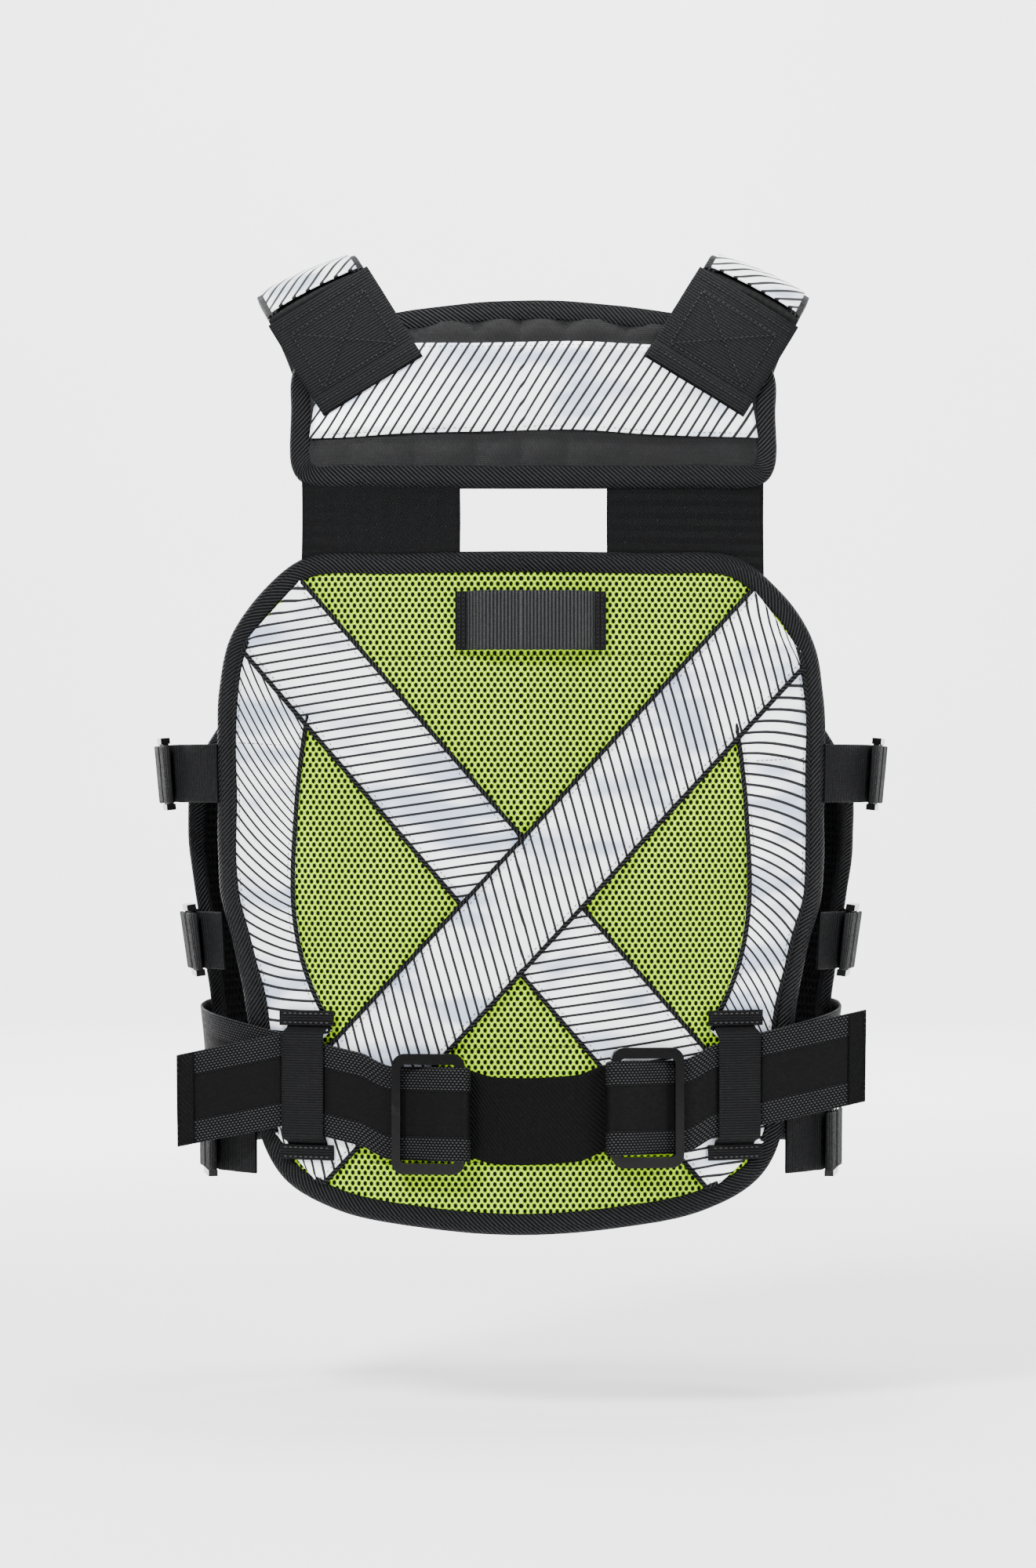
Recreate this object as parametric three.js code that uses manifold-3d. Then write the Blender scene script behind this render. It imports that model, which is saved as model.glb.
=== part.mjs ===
// A hi-vis safety harness vest, in the curved shape that it holds when worn.
// Millimetres, +Z up. The back of the vest faces -Y, its front +Y, and +X is the wearer's right.
// The origin is midway between the shoulder pads, where the harness rests on the shoulders.
import * as THREE from 'three';
import { mergeVertices } from 'three/addons/utils/BufferGeometryUtils.js';
import Module from 'manifold-3d';

const wasm = await Module();
wasm.setup();

// ---- driving dimensions -------------------------------------------------------------
// The vest's outer surface: at each height, half width, half depth at the back and front.
const torso = [
  { z: -660, half: 202, back: 126, front: 120 },
  { z: -520, half: 203, back: 122, front: 119 },
  { z: -430, half: 213, back: 127, front: 121 },
  { z: -330, half: 230, back: 134, front: 123 },
  { z: -250, half: 233, back: 137, front: 121 },
  { z: -140, half: 231, back: 131, front: 113 },
  { z: -70, half: 226, back: 118, front: 99 },
  { z: -20, half: 215, back: 101, front: 85 },
  { z: 20, half: 200, back: 80, front: 70 },
];
const torsoSquareness = 2.5;

const gap = 0.3; // between pieces that meet edge to edge
const layerGap = 0.6; // between sewn layers, whose facets differ
const facet = 14; // the longest facet of an outer layer
const layer = 1.3; // reflective tape and flat fabric layers
const webbingThick = 1.6;
const slideGap = 0.5; // between webbing and the bar that it runs round

const panelThick = 7;
const liningThick = 2;
const bindingWidth = 14;
const bindingProud = 1.2;
const tapeWidth = 60;
const tapeMargin = 2; // from a tape's end to the binding

const backTop = -181;
const backBottom = -619;
const backHalf = 198;
const waistHalf = 180;
const yokeShift = 8; // the yoke hangs a little to the wearer's right
const yokeTop = -17;
const yokeBottom = -141;
const yokeHalf = 157;
const yokeTapeMid = -78;

const elasticWidth = 102;
const elasticInner = 47;

const shoulderWidth = 74;
const shoulderThick = 8;
const shoulderCrown = 2.5;
const shoulderFoot = { x: 102, z: -76 };
const shoulderTop = { x: 139, z: -15 };
const padStart = { left: 1.068, right: 1.086 }; // shares of the way up the webbing patch

const sideWebbing = 38;
const lockLength = 34;
const lockBar = 2.2;
const lockRail = 4;
const lockDepth = 6;
const sideHeights = { upper: -323, middle: -432, lower: -564 };
const sideSewn = 16; // how far a side strap lies on the front panel
const lockSetback = 26; // from the side's middle back to the lock's middle

const beltWidth = 60;
const beltMid = -546;
const beltRise = 44;
const beltRiseOver = 165;
const slideLength = 47;
const slideBar = 2.8;
const slideInside = beltWidth + 3;
const slideAt = { left: -58, right: 79 };
const tailLength = 72;
const tailTurn = 14;
const keeperWidth = 28;
const keeperAt = 139;
const keeperTab = 12;

const handleHalf = 48;
const handleAt = { x: 6, z: -226 };
const handleRise = 9;

const frontGap = 24;
const frontBottom = -572;
const frontTop = -166;
const frontTapeAt = 52;
const frontTapeWidth = 50;

const chestZ = -262;
const chestWebbing = 25;
const buckleGap = 0.6;

const colours = {
  mesh: { color: 0xc3eb3c, roughness: 0.8, metalness: 0 },
  fabric: { color: 0x15161a, roughness: 0.85, metalness: 0 },
  webbing: { color: 0x1b1c20, roughness: 0.8, metalness: 0 },
  tape: { color: 0xd9dde4, roughness: 0.45, metalness: 0.1 },
  plastic: { color: 0x101113, roughness: 0.4, metalness: 0 },
};

// ---- the torso surface ----------------------------------------------------------------
const arcSteps = 160;
const arcTables = new Map();

// A smooth curve through the stations' values of one key.
function along(z, key) {
  let i = torso.findIndex((row) => row.z > z);
  if (i < 1) i = i === 0 ? 1 : torso.length - 1;
  const low = torso[i - 1];
  const high = torso[i];
  const span = high.z - low.z;
  const before = torso[Math.max(0, i - 2)];
  const after = torso[Math.min(torso.length - 1, i + 1)];
  const slopeLow = ((high[key] - before[key]) / (high.z - before.z)) * span;
  const slopeHigh = ((after[key] - low[key]) / (after.z - low.z)) * span;
  const t = (z - low.z) / span;
  const t2 = t * t;
  const t3 = t2 * t;
  return (
    (2 * t3 - 3 * t2 + 1) * low[key] +
    (t3 - 2 * t2 + t) * slopeLow +
    (3 * t2 - 2 * t3) * high[key] +
    (t3 - t2) * slopeHigh
  );
}

// The point at a turn from 0 at the back's middle to PI at the front's middle.
function sectionPoint(turn, z) {
  const power = 2 / torsoSquareness;
  const side = Math.sin(turn);
  const ahead = -Math.cos(turn);
  const depth = ahead < 0 ? along(z, 'back') : along(z, 'front');
  const x = along(z, 'half') * Math.abs(side) ** power;
  return [x, Math.sign(ahead) * depth * Math.abs(ahead) ** power];
}

function arcTable(z) {
  const key = z.toFixed(3);
  if (arcTables.has(key)) return arcTables.get(key);
  const lengths = [0];
  let last = sectionPoint(0, z);
  for (let i = 1; i <= arcSteps; i += 1) {
    const next = sectionPoint((Math.PI * i) / arcSteps, z);
    lengths.push(lengths[i - 1] + Math.hypot(next[0] - last[0], next[1] - last[1]));
    last = next;
  }
  arcTables.set(key, lengths);
  return lengths;
}

function turnAt(length, z) {
  const lengths = arcTable(z);
  let i = 1;
  while (i < arcSteps && lengths[i] < length) i += 1;
  const share = (length - lengths[i - 1]) / (lengths[i] - lengths[i - 1]);
  return (Math.PI * (i - 1 + share)) / arcSteps;
}

function lengthAt(turn, z) {
  const lengths = arcTable(z);
  const place = (turn / Math.PI) * arcSteps;
  const i = Math.min(arcSteps - 1, Math.floor(place));
  return lengths[i] + (lengths[i + 1] - lengths[i]) * (place - i);
}

// Distance round the surface from the back's middle to a point seen at x, on the back or front.
function round(x, z) {
  const share = Math.min(1, Math.abs(x) / along(z, 'half'));
  return Math.sign(x) * lengthAt(Math.asin(share ** (torsoSquareness / 2)), z);
}

function roundFront(x, z) {
  const share = Math.min(1, Math.abs(x) / along(z, 'half'));
  return Math.sign(x) * lengthAt(Math.PI - Math.asin(share ** (torsoSquareness / 2)), z);
}

const onTorso = ([x, z]) => [round(x, z), z];
const sideMiddle = (z) => lengthAt(Math.PI / 2, z);
const frontMiddle = (z) => arcTable(z)[arcSteps];

function surface(distance, z) {
  const half = frontMiddle(z);
  const s = Math.abs(distance) > half ? distance - 2 * half * Math.sign(distance) : distance;
  const [x, y] = sectionPoint(turnAt(Math.abs(s), z), z);
  return new THREE.Vector3(s < 0 ? -x : x, y, z);
}

function frameAt(s, z) {
  const step = 2;
  const tangent = surface(s + step, z).sub(surface(s - step, z)).normalize();
  const up = surface(s, z + step).sub(surface(s, z - step)).normalize();
  const normal = tangent.clone().cross(up).normalize();
  return { tangent, normal };
}

// A point off the surface by a height along its outward normal.
function skin(s, z, height) {
  const { normal } = frameAt(s, z);
  return surface(s, z).addScaledVector(normal, height);
}

const smooth = (t) => {
  const share = Math.min(1, Math.max(0, t));
  return share * share * (3 - 2 * share);
};

// Ground that is flat for a reach round a buckle at (s0, z0) and joins the torso beyond it.
function levelled(s0, z0, reach, blend = reach) {
  const { tangent, normal } = frameAt(s0, z0);
  const up = normal.clone().cross(tangent);
  const middle = surface(s0, z0);
  return (s, z, height) => {
    const flat = middle
      .clone()
      .addScaledVector(tangent, s - s0)
      .addScaledVector(up, z - z0)
      .addScaledVector(normal, height);
    return flat.lerp(skin(s, z, height), smooth((Math.abs(s - s0) - reach) / blend));
  };
}

// ---- solids ---------------------------------------------------------------------------
function solid(points, faces) {
  const geometry = new THREE.BufferGeometry();
  const flat = points.flatMap((p) => [p.x, p.y, p.z]);
  geometry.setAttribute('position', new THREE.Float32BufferAttribute(flat, 3));
  const volume = faces.reduce((sum, [a, b, c]) => {
    const cross = points[b].clone().cross(points[c]);
    return sum + points[a].dot(cross);
  }, 0);
  const outward = volume < 0 ? faces.map(([a, b, c]) => [a, c, b]) : faces;
  geometry.setIndex(outward.flat());
  geometry.computeVertexNormals();
  return geometry;
}

// A closed sheet over a grid of points: place(i, j, side) gives its inner and outer faces.
function gridSolid(rows, columns, place) {
  const points = [];
  const at = (i, j, side) => (side * rows + i) * columns + j;
  for (const side of [0, 1]) {
    for (let i = 0; i < rows; i += 1) {
      for (let j = 0; j < columns; j += 1) points.push(place(i, j, side));
    }
  }
  const faces = [];
  const quad = (a, b, c, d) => faces.push([a, b, c], [a, c, d]);
  for (let i = 0; i < rows - 1; i += 1) {
    for (let j = 0; j < columns - 1; j += 1) {
      quad(at(i, j, 1), at(i, j + 1, 1), at(i + 1, j + 1, 1), at(i + 1, j, 1));
      quad(at(i, j, 0), at(i + 1, j, 0), at(i + 1, j + 1, 0), at(i, j + 1, 0));
    }
    quad(at(i, 0, 0), at(i, 0, 1), at(i + 1, 0, 1), at(i + 1, 0, 0));
    const end = columns - 1;
    quad(at(i, end, 1), at(i, end, 0), at(i + 1, end, 0), at(i + 1, end, 1));
  }
  for (let j = 0; j < columns - 1; j += 1) {
    quad(at(0, j, 0), at(0, j + 1, 0), at(0, j + 1, 1), at(0, j, 1));
    const end = rows - 1;
    quad(at(end, j + 1, 0), at(end, j, 0), at(end, j, 1), at(end, j + 1, 1));
  }
  return solid(points, faces);
}

// A sheet on the torso between two edges, each a list of [s, z], from one height to another.
function sheet(edgeA, edgeB, columns, low, high) {
  const mix = (i, j) => {
    const t = j / (columns - 1);
    return [0, 1].map((k) => edgeA[i][k] + (edgeB[i][k] - edgeA[i][k]) * t);
  };
  const height = (value, i, j) => (typeof value === 'function' ? value(i, j) : value);
  return gridSolid(edgeA.length, columns, (i, j, side) => {
    const [s, z] = mix(i, j);
    return skin(s, z, height(side ? high : low, i, j));
  });
}

// Points evenly along a smooth open curve through [x, z] pairs.
function seamLine(pairs, count) {
  const points = pairs.map(([x, z]) => new THREE.Vector3(x, 0, z));
  const curve = new THREE.CatmullRomCurve3(points, false, 'centripetal');
  return curve.getSpacedPoints(count - 1).map((p) => [p.x, p.z]);
}

// The outline of half a panel, mirrored into a closed loop of [x, z] from the top's middle.
function panelLoop(half, count, shift = 0) {
  const right = half.map(([x, z]) => new THREE.Vector3(x, 0, z));
  const left = half.slice(1, -1).reverse().map(([x, z]) => new THREE.Vector3(-x, 0, z));
  const curve = new THREE.CatmullRomCurve3([...right, ...left], true, 'centripetal');
  return curve.getSpacedPoints(count).slice(0, count).map((p) => [p.x + shift, p.z]);
}

// A clockwise loop moved inwards by a distance.
function inset(loop, distance) {
  const count = loop.length;
  return loop.map(([x, z], i) => {
    const before = loop[(i + count - 1) % count];
    const after = loop[(i + 1) % count];
    const dx = after[0] - before[0];
    const dz = after[1] - before[1];
    const size = Math.hypot(dx, dz);
    return [x + (dz / size) * distance, z - (dx / size) * distance];
  });
}

// Keeps a point inside a clockwise loop, on its nearest edge if it lies outside.
function keepInside(loop, x, z) {
  let nearest = { far: Infinity };
  loop.forEach(([startX, startZ], i) => {
    const [endX, endZ] = loop[(i + 1) % loop.length];
    const dx = endX - startX;
    const dz = endZ - startZ;
    const share = ((x - startX) * dx + (z - startZ) * dz) / (dx * dx + dz * dz);
    const t = Math.min(1, Math.max(0, share));
    const point = [startX + dx * t, startZ + dz * t];
    const far = Math.hypot(x - point[0], z - point[1]);
    const inside = (x - startX) * dz - (z - startZ) * dx > 0;
    if (far < nearest.far) nearest = { far, point, inside };
  });
  return nearest.inside ? [x, z] : nearest.point;
}

// The ground inside a loop, as a sheet whose rows join its two sides.
function panel(loop, columns, low, high) {
  const half = Math.floor(loop.length / 2);
  const edge = (step) => (i) => loop[(loop.length + step * i) % loop.length];
  const rows = Array.from({ length: half - 1 }, (_, i) => i + 1);
  return sheet(rows.map(edge(-1)).map(onTorso), rows.map(edge(1)).map(onTorso), columns, low, high);
}

// A binding: a ring between two loops.
function ring(outer, inner, low, high) {
  const count = outer.length;
  const corners = [
    [outer, low],
    [outer, high],
    [inner, high],
    [inner, low],
  ];
  const points = corners.flatMap(([loop, height]) =>
    loop.map(([x, z]) => skin(round(x, z), z, height)),
  );
  const faces = [];
  for (let c = 0; c < 4; c += 1) {
    for (let i = 0; i < count; i += 1) {
      const next = (i + 1) % count;
      const d = (c + 1) % 4;
      faces.push([c * count + i, d * count + i, d * count + next]);
      faces.push([c * count + i, d * count + next, c * count + next]);
    }
  }
  return solid(points, faces);
}

// A band of a given thickness along an open path of [u, w] points, which place(u, w, edge)
// carries to the two edges of its width.
function bandSolid(path, thick, place) {
  const faces = [[], []];
  path.forEach(([u, w], i) => {
    const before = path[Math.max(0, i - 1)];
    const after = path[Math.min(path.length - 1, i + 1)];
    const into = new THREE.Vector2(u - before[0], w - before[1]);
    const out = new THREE.Vector2(after[0] - u, after[1] - w);
    if (i === 0) into.copy(out);
    if (i === path.length - 1) out.copy(into);
    into.normalize();
    out.normalize();
    const across = new THREE.Vector2(-into.y - out.y, into.x + out.x).normalize();
    const reach = thick / 2 / Math.max(0.5, across.dot(new THREE.Vector2(-into.y, into.x)));
    faces[0].push([u - across.x * reach, w - across.y * reach]);
    faces[1].push([u + across.x * reach, w + across.y * reach]);
  });
  return gridSolid(path.length, 2, (i, j, edge) => place(...faces[j][i], edge));
}

// Webbing on the torso along a path of [s, height] points, its middle at height z or z(s).
function webbing(path, middle, width, ground = skin, thick = webbingThick) {
  const z = typeof middle === 'function' ? middle : () => middle;
  return bandSolid(path, thick, (s, height, edge) =>
    ground(s, z(s) + (edge ? 1 : -1) * (width / 2), height),
  );
}

// Half a turn round a bar, from below it to above it, on the side that direction points to.
function turnRound(at, height, radius, direction, steps = 6) {
  return Array.from({ length: steps + 1 }, (_, i) => {
    const angle = (Math.PI * i) / steps;
    return [at + direction * radius * Math.sin(angle), height - radius * Math.cos(angle)];
  });
}

// Even steps from one value to another.
function steps(from, to, longest) {
  const count = Math.max(1, Math.ceil(Math.abs(to - from) / longest));
  return Array.from({ length: count + 1 }, (_, i) => from + ((to - from) * i) / count);
}

function toManifold(geometry) {
  const bare = geometry.index ? geometry.clone() : geometry;
  bare.deleteAttribute('normal');
  bare.deleteAttribute('uv');
  const merged = mergeVertices(bare, 1e-4);
  return new wasm.Manifold(
    new wasm.Mesh({
      numProp: 3,
      vertProperties: new Float32Array(merged.attributes.position.array),
      triVerts: new Uint32Array(merged.index.array),
    }),
  );
}

function fromManifold(manifold) {
  const result = manifold.getMesh();
  const geometry = new THREE.BufferGeometry();
  geometry.setAttribute('position', new THREE.BufferAttribute(result.vertProperties, 3));
  geometry.setIndex(new THREE.BufferAttribute(result.triVerts, 1));
  geometry.computeVertexNormals();
  return geometry;
}

const join = (...parts) => fromManifold(parts.map(toManifold).reduce((a, b) => a.add(b)));
const cut = (from, ...tools) =>
  fromManifold(tools.map(toManifold).reduce((a, b) => a.subtract(b), toManifold(from)));

function box(width, height, depth, x = 0, y = 0, z = 0) {
  return new THREE.BoxGeometry(width, height, depth).translate(x, y, z);
}

function rod(radius, length, sides, x, z) {
  return new THREE.CylinderGeometry(radius, radius, length, sides)
    .rotateY(Math.PI / sides)
    .translate(x, 0, z);
}

function roundedRectangle(width, height, corner) {
  const shape = new THREE.Shape();
  const x = width / 2 - corner;
  const y = height / 2 - corner;
  shape.absarc(x, y, corner, 0, Math.PI / 2);
  shape.absarc(-x, y, corner, Math.PI / 2, Math.PI);
  shape.absarc(-x, -y, corner, Math.PI, Math.PI * 1.5);
  shape.absarc(x, -y, corner, Math.PI * 1.5, Math.PI * 2);
  return shape;
}

function plate(shape, depth, curveSegments = 3) {
  return new THREE.ExtrudeGeometry(shape, { depth, bevelEnabled: false, curveSegments })
    .translate(0, 0, -depth / 2);
}

// ---- the scene ------------------------------------------------------------------------
const vest = new THREE.Group();
const materials = Object.fromEntries(
  Object.entries(colours).map(([name, look]) => [name, new THREE.MeshStandardMaterial(look)]),
);

function add(name, geometry, material, parent = vest) {
  const mesh = new THREE.Mesh(geometry, materials[material]);
  mesh.name = name;
  parent.add(mesh);
  return mesh;
}

// A group whose x runs round the torso, y up it and z outwards; forward turns x to the front.
function seat(s, z, height, turned = false) {
  const { tangent, normal } = frameAt(s, z);
  const up = normal.clone().cross(tangent);
  const group = new THREE.Group();
  group.quaternion.setFromRotationMatrix(new THREE.Matrix4().makeBasis(tangent, up, normal));
  group.position.copy(skin(s, z, height));
  if (turned) group.rotateZ(Math.PI);
  vest.add(group);
  return group;
}

const sides = [
  ['left', -1],
  ['right', 1],
];

// ---- yoke -----------------------------------------------------------------------------
const yokeHalfOutline = [
  [0, yokeTop],
  [60, yokeTop - 4],
  [110, yokeTop - 13],
  [yokeHalf - 9, yokeTop - 32],
  [yokeHalf, yokeTop - 50],
  [yokeHalf, (yokeTop + yokeBottom) / 2 - 10],
  [yokeHalf - 1, yokeBottom + 14],
  [yokeHalf - 9, yokeBottom + 4],
  [100, yokeBottom + 1],
  [0, yokeBottom],
];
const yokeLoop = panelLoop(yokeHalfOutline, 40, yokeShift);

function buildYoke() {
  const inside = inset(yokeLoop, bindingWidth + 2 * gap);
  const seam = inset(yokeLoop, bindingWidth);
  add('yoke_panel', panel(inside, 7, -panelThick, 0), 'fabric');
  add('yoke_binding', ring(yokeLoop, seam, -panelThick - 1, bindingProud), 'webbing');
  const reach = yokeHalf - bindingWidth;
  const field = inset(yokeLoop, bindingWidth + tapeMargin);
  const edge = (z, slope) =>
    steps(-reach, reach, facet).map((x) => {
      const height = z + slope * Math.cos((x / reach) * Math.PI);
      return onTorso(keepInside(field, x + yokeShift, height));
    });
  const low = edge(yokeTapeMid - tapeWidth / 2 + 2, 2);
  const high = edge(yokeTapeMid + tapeWidth / 2, 1);
  add('yoke_tape', sheet(low, high, 5, layerGap, layerGap + layer), 'tape');
}

// ---- shoulders ------------------------------------------------------------------------
const patchLift = layerGap * 2 + layer;

function shoulderCorner(side, alongShare, acrossShare) {
  const dx = shoulderTop.x - shoulderFoot.x;
  const dz = shoulderTop.z - shoulderFoot.z;
  const size = Math.hypot(dx, dz);
  const reach = (acrossShare * shoulderWidth) / 2;
  const x = shoulderFoot.x + dx * alongShare + (dz / size) * reach;
  const z = shoulderFoot.z + dz * alongShare - (dx / size) * reach;
  return [round(side * x + yokeShift, z), z];
}

function shoulderPatch(side) {
  const shares = steps(0, 1, 0.16);
  const edge = (across) => shares.map((share) => shoulderCorner(side, share, across));
  const top = patchLift + webbingThick;
  return sheet(edge(-1), edge(1), 7, patchLift, top);
}

// The pad's middle line over the shoulder, from the yoke to the front strap.
function shoulderLine(side) {
  const share = side < 0 ? padStart.left : padStart.right;
  const start = skin(...shoulderCorner(side, share, 0), patchLift - 1);
  const across = (x) => side * x + yokeShift;
  return new THREE.CatmullRomCurve3([
    start,
    new THREE.Vector3(across(149), -46, 3),
    new THREE.Vector3(across(151), -2, 7),
    new THREE.Vector3(across(144), 38, -6),
    new THREE.Vector3(across(131), 71, -38),
    new THREE.Vector3(across(118), 95, -84),
  ]);
}

// A sheet along a curve in space, its width tilted outwards and down.
function saddle(curve, side, width, low, high, count, columns) {
  const shares = steps(0, 1, 1 / (count - 1));
  const rows = shares.map((share) => {
    const middle = curve.getPointAt(share);
    const forward = curve.getTangentAt(share);
    const tilt = 0.5 - 0.25 * share;
    const across = new THREE.Vector3(side, side * forward.x * 0.3, -tilt);
    across.addScaledVector(forward, -across.dot(forward)).normalize();
    const normal = across.clone().cross(forward).normalize().multiplyScalar(side);
    if (normal.z < 0 && share < 0.6) normal.negate();
    return { middle, across, normal };
  });
  return gridSolid(rows.length, columns, (i, j, face) => {
    const { middle, across, normal } = rows[i];
    const reach = (j / (columns - 1) - 0.5) * width;
    const sag = -shoulderCrown * ((2 * reach) / shoulderWidth) ** 2;
    return middle
      .clone()
      .addScaledVector(across, reach)
      .addScaledVector(normal, (face ? high : low) + sag);
  });
}

function buildShoulders() {
  for (const [name, side] of sides) {
    add(`shoulder_webbing_${name}`, shoulderPatch(side), 'webbing');
    const line = shoulderLine(side);
    const pad = saddle(line, side, shoulderWidth, -shoulderThick, 0, 20, 6);
    add(`shoulder_pad_${name}`, pad, 'fabric');
    const narrow = shoulderWidth - 12;
    const tape = saddle(line, side, narrow, layerGap, layerGap + layer, 20, 6);
    add(`shoulder_tape_${name}`, tape, 'tape');
  }
}

// The front strap that leaves each pad, runs straight down and passes through its lock.
const strapFoot = -205;
const strapX = 112;
const strapLift = 6;

function strapPlane(side) {
  return skin(roundFront(side * strapX, strapFoot), strapFoot, strapLift);
}

function buildFrontStraps() {
  for (const [name, side] of sides) {
    const foot = strapPlane(side);
    const padEnd = shoulderLine(side).getPointAt(1);
    const straight = frontTop + lockLength + 12;
    const path = [
      [padEnd.y + 1, padEnd.z - shoulderCrown - 2 * layerGap],
      [foot.y - 3, straight + 14],
      [foot.y, straight],
      [foot.y, strapFoot],
    ];
    const x = side * strapX + yokeShift / 2;
    const solidBand = bandSolid(path, webbingThick, (y, z, edge) => {
      const lean = Math.max(0, (z - straight) / (padEnd.z - straight)) * (padEnd.x - x);
      return new THREE.Vector3(x + lean + (edge ? 1 : -1) * (sideWebbing / 2), y, z);
    });
    add(`shoulder_strap_${name}`, solidBand, 'webbing');
    add(`shoulder_lock_${name}`, staggeredLock(), 'plastic').position.set(
      x,
      foot.y,
      frontTop + lockLength / 2 + gap,
    );
  }
}

// A ladder lock whose bars stand alternately before and behind a straight strap.
function staggeredLock() {
  const inside = sideWebbing + 1.6;
  const railX = inside / 2 + lockRail / 2;
  const barY = webbingThick / 2 + slideGap + lockBar;
  const depth = 2 * (barY + lockBar) - 0.8;
  const rails = [-1, 1].map((k) => box(lockRail, depth, lockLength, k * railX, 0, 0));
  const bars = [
    [lockLength / 2 - lockBar, 1],
    [0, -1],
    [lockLength / 2 - lockBar, -1],
  ].map(([z, face], i) =>
    new THREE.CylinderGeometry(lockBar, lockBar, inside + 2, 8)
      .rotateY(Math.PI / 8)
      .rotateZ(Math.PI / 2)
      .translate(0, face * barY, i === 2 ? -z : z),
  );
  return join(...rails, ...bars);
}

// ---- back panel -----------------------------------------------------------------------
const backHalfOutline = [
  [0, backTop],
  [80, backTop - 1],
  [138, backTop - 3],
  [167, backTop - 24],
  [189, backTop - 54],
  [backHalf - 1, backTop - 90],
  [backHalf, backTop - 155],
  [backHalf - 1, -402],
  [backHalf - 9, -432],
  [waistHalf + 2, -465],
  [waistHalf - 3, -500],
  [172, backBottom + 66],
  [156, backBottom + 35],
  [120, backBottom + 15],
  [60, backBottom + 4],
  [0, backBottom],
];
const backLoop = panelLoop(backHalfOutline, 60);

// The crossing tapes' middle lines, from the upper corner to the lower one.
const fallingTape = { from: [-159, -222], to: [149, -581] };
const risingTape = { from: [164, -230], to: [-154, -575] };
const crossing = { x: 0, z: -406 };

function crossTape(line, lift) {
  const [x0, z0] = line.from;
  const [x1, z1] = line.to;
  const size = Math.hypot(x1 - x0, z1 - z0);
  const nx = ((z1 - z0) / size) * (tapeWidth / 2);
  const nz = (-(x1 - x0) / size) * (tapeWidth / 2);
  const shares = steps(0, 1, facet / size);
  const field = inset(backLoop, bindingWidth + tapeMargin);
  const edge = (sign) =>
    shares.map((t) => {
      const x = x0 + (x1 - x0) * t + sign * nx;
      const z = z0 + (z1 - z0) * t + sign * nz;
      return onTorso(keepInside(field, x, z));
    });
  const height = (i) => {
    const t = shares[i];
    const far = Math.hypot(x0 + (x1 - x0) * t - crossing.x, z0 + (z1 - z0) * t - crossing.z);
    const near = Math.min(1, Math.max(0, (tapeWidth * 1.25 - far) / (tapeWidth * 0.3)));
    return lift * near * near * (3 - 2 * near);
  };
  const low = (i) => layerGap + height(i);
  return sheet(edge(-1), edge(1), 5, low, (i) => low(i) + layer);
}

// The reflective strips down the panel's sides, between the crossing tapes' ends.
const sideTapeOuter = [
  [184.4, -264],
  [184.6, -330],
  [184.4, -400],
  [174, -438],
  [165, -470],
  [161, -505],
  [160, -520],
];
const sideTapeInner = [
  [140, -313],
  [143, -350],
  [145, -405],
  [140, -440],
  [131, -466],
  [125, -478],
  [122, -483],
];

function buildBack() {
  const lined = inset(backLoop, bindingWidth + 3 * gap);
  add('back_panel', panel(lined, 9, -panelThick, 0), 'mesh');
  const seam = inset(backLoop, bindingWidth);
  const low = -panelThick - liningThick - layerGap;
  add('back_binding', ring(backLoop, seam, low, bindingProud), 'webbing');
  add('back_lining', panel(lined, 9, low, -panelThick - layerGap), 'fabric');
  add('tape_falling', crossTape(fallingTape, 0), 'tape');
  add('tape_rising', crossTape(risingTape, layer + layerGap), 'tape');
  const field = inset(backLoop, bindingWidth + tapeMargin);
  for (const [name, side] of sides) {
    const edge = (line) =>
      seamLine(line, 22).map(([x, z]) => {
        const [inX, inZ] = keepInside(field, x, z);
        return [side * round(inX, inZ), inZ];
      });
    const strip = sheet(edge(sideTapeOuter), edge(sideTapeInner), 4, layerGap, layerGap + layer);
    add(`side_tape_${name}`, strip, 'tape');
  }
  const handle = bandSolid(handlePath(), webbingThick, (s, height, edge) =>
    skin(s, handleAt.z + (edge ? 1 : -1) * (sideWebbing / 2), height),
  );
  add('grab_handle', handle, 'webbing');
}

// The handle lies flat at its sewn ends and stands off the panel between them.
function handlePath() {
  const base = gap + webbingThick / 2 + 0.4;
  return steps(-1, 1, 0.1).map((t) => {
    const free = Math.min(1, (1 - Math.abs(t)) / 0.45);
    const rise = handleRise * free * free * (3 - 2 * free);
    return [handleAt.x + t * handleHalf, base + (Math.abs(t) > 0.84 ? 0 : rise)];
  });
}

// Where a loop crosses the upright line at x, as a list of heights.
function crossingHeights(loop, x) {
  return loop.flatMap(([startX, startZ], i) => {
    const [endX, endZ] = loop[(i + 1) % loop.length];
    if (startX < x === endX < x) return [];
    return [startZ + ((endZ - startZ) * (x - startX)) / (endX - startX)];
  });
}

function buildElastics() {
  for (const [name, side] of sides) {
    const xs = steps(elasticInner, elasticInner + elasticWidth, 12).map((x) => side * x + yokeShift);
    const low = xs.map((x) => onTorso([x, Math.max(...crossingHeights(backLoop, x)) + 3 * gap]));
    const high = xs.map((x) => onTorso([x, Math.min(...crossingHeights(yokeLoop, x)) - 2 * gap]));
    const levels = steps(0, 1, 0.5);
    const row = (t) => low.map(([s, z], i) => [s + (high[i][0] - s) * t, z + (high[i][1] - z) * t]);
    const rows = levels.map(row);
    const band = gridSolid(rows.length, xs.length, (i, j, face) =>
      skin(rows[i][j][0], rows[i][j][1], face ? -2.4 : -4.2),
    );
    add(`elastic_${name}`, band, 'webbing');
  }
}

// ---- side adjusters -------------------------------------------------------------------
const lockLift = 5;
const lockMiddleBar = 1;

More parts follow.
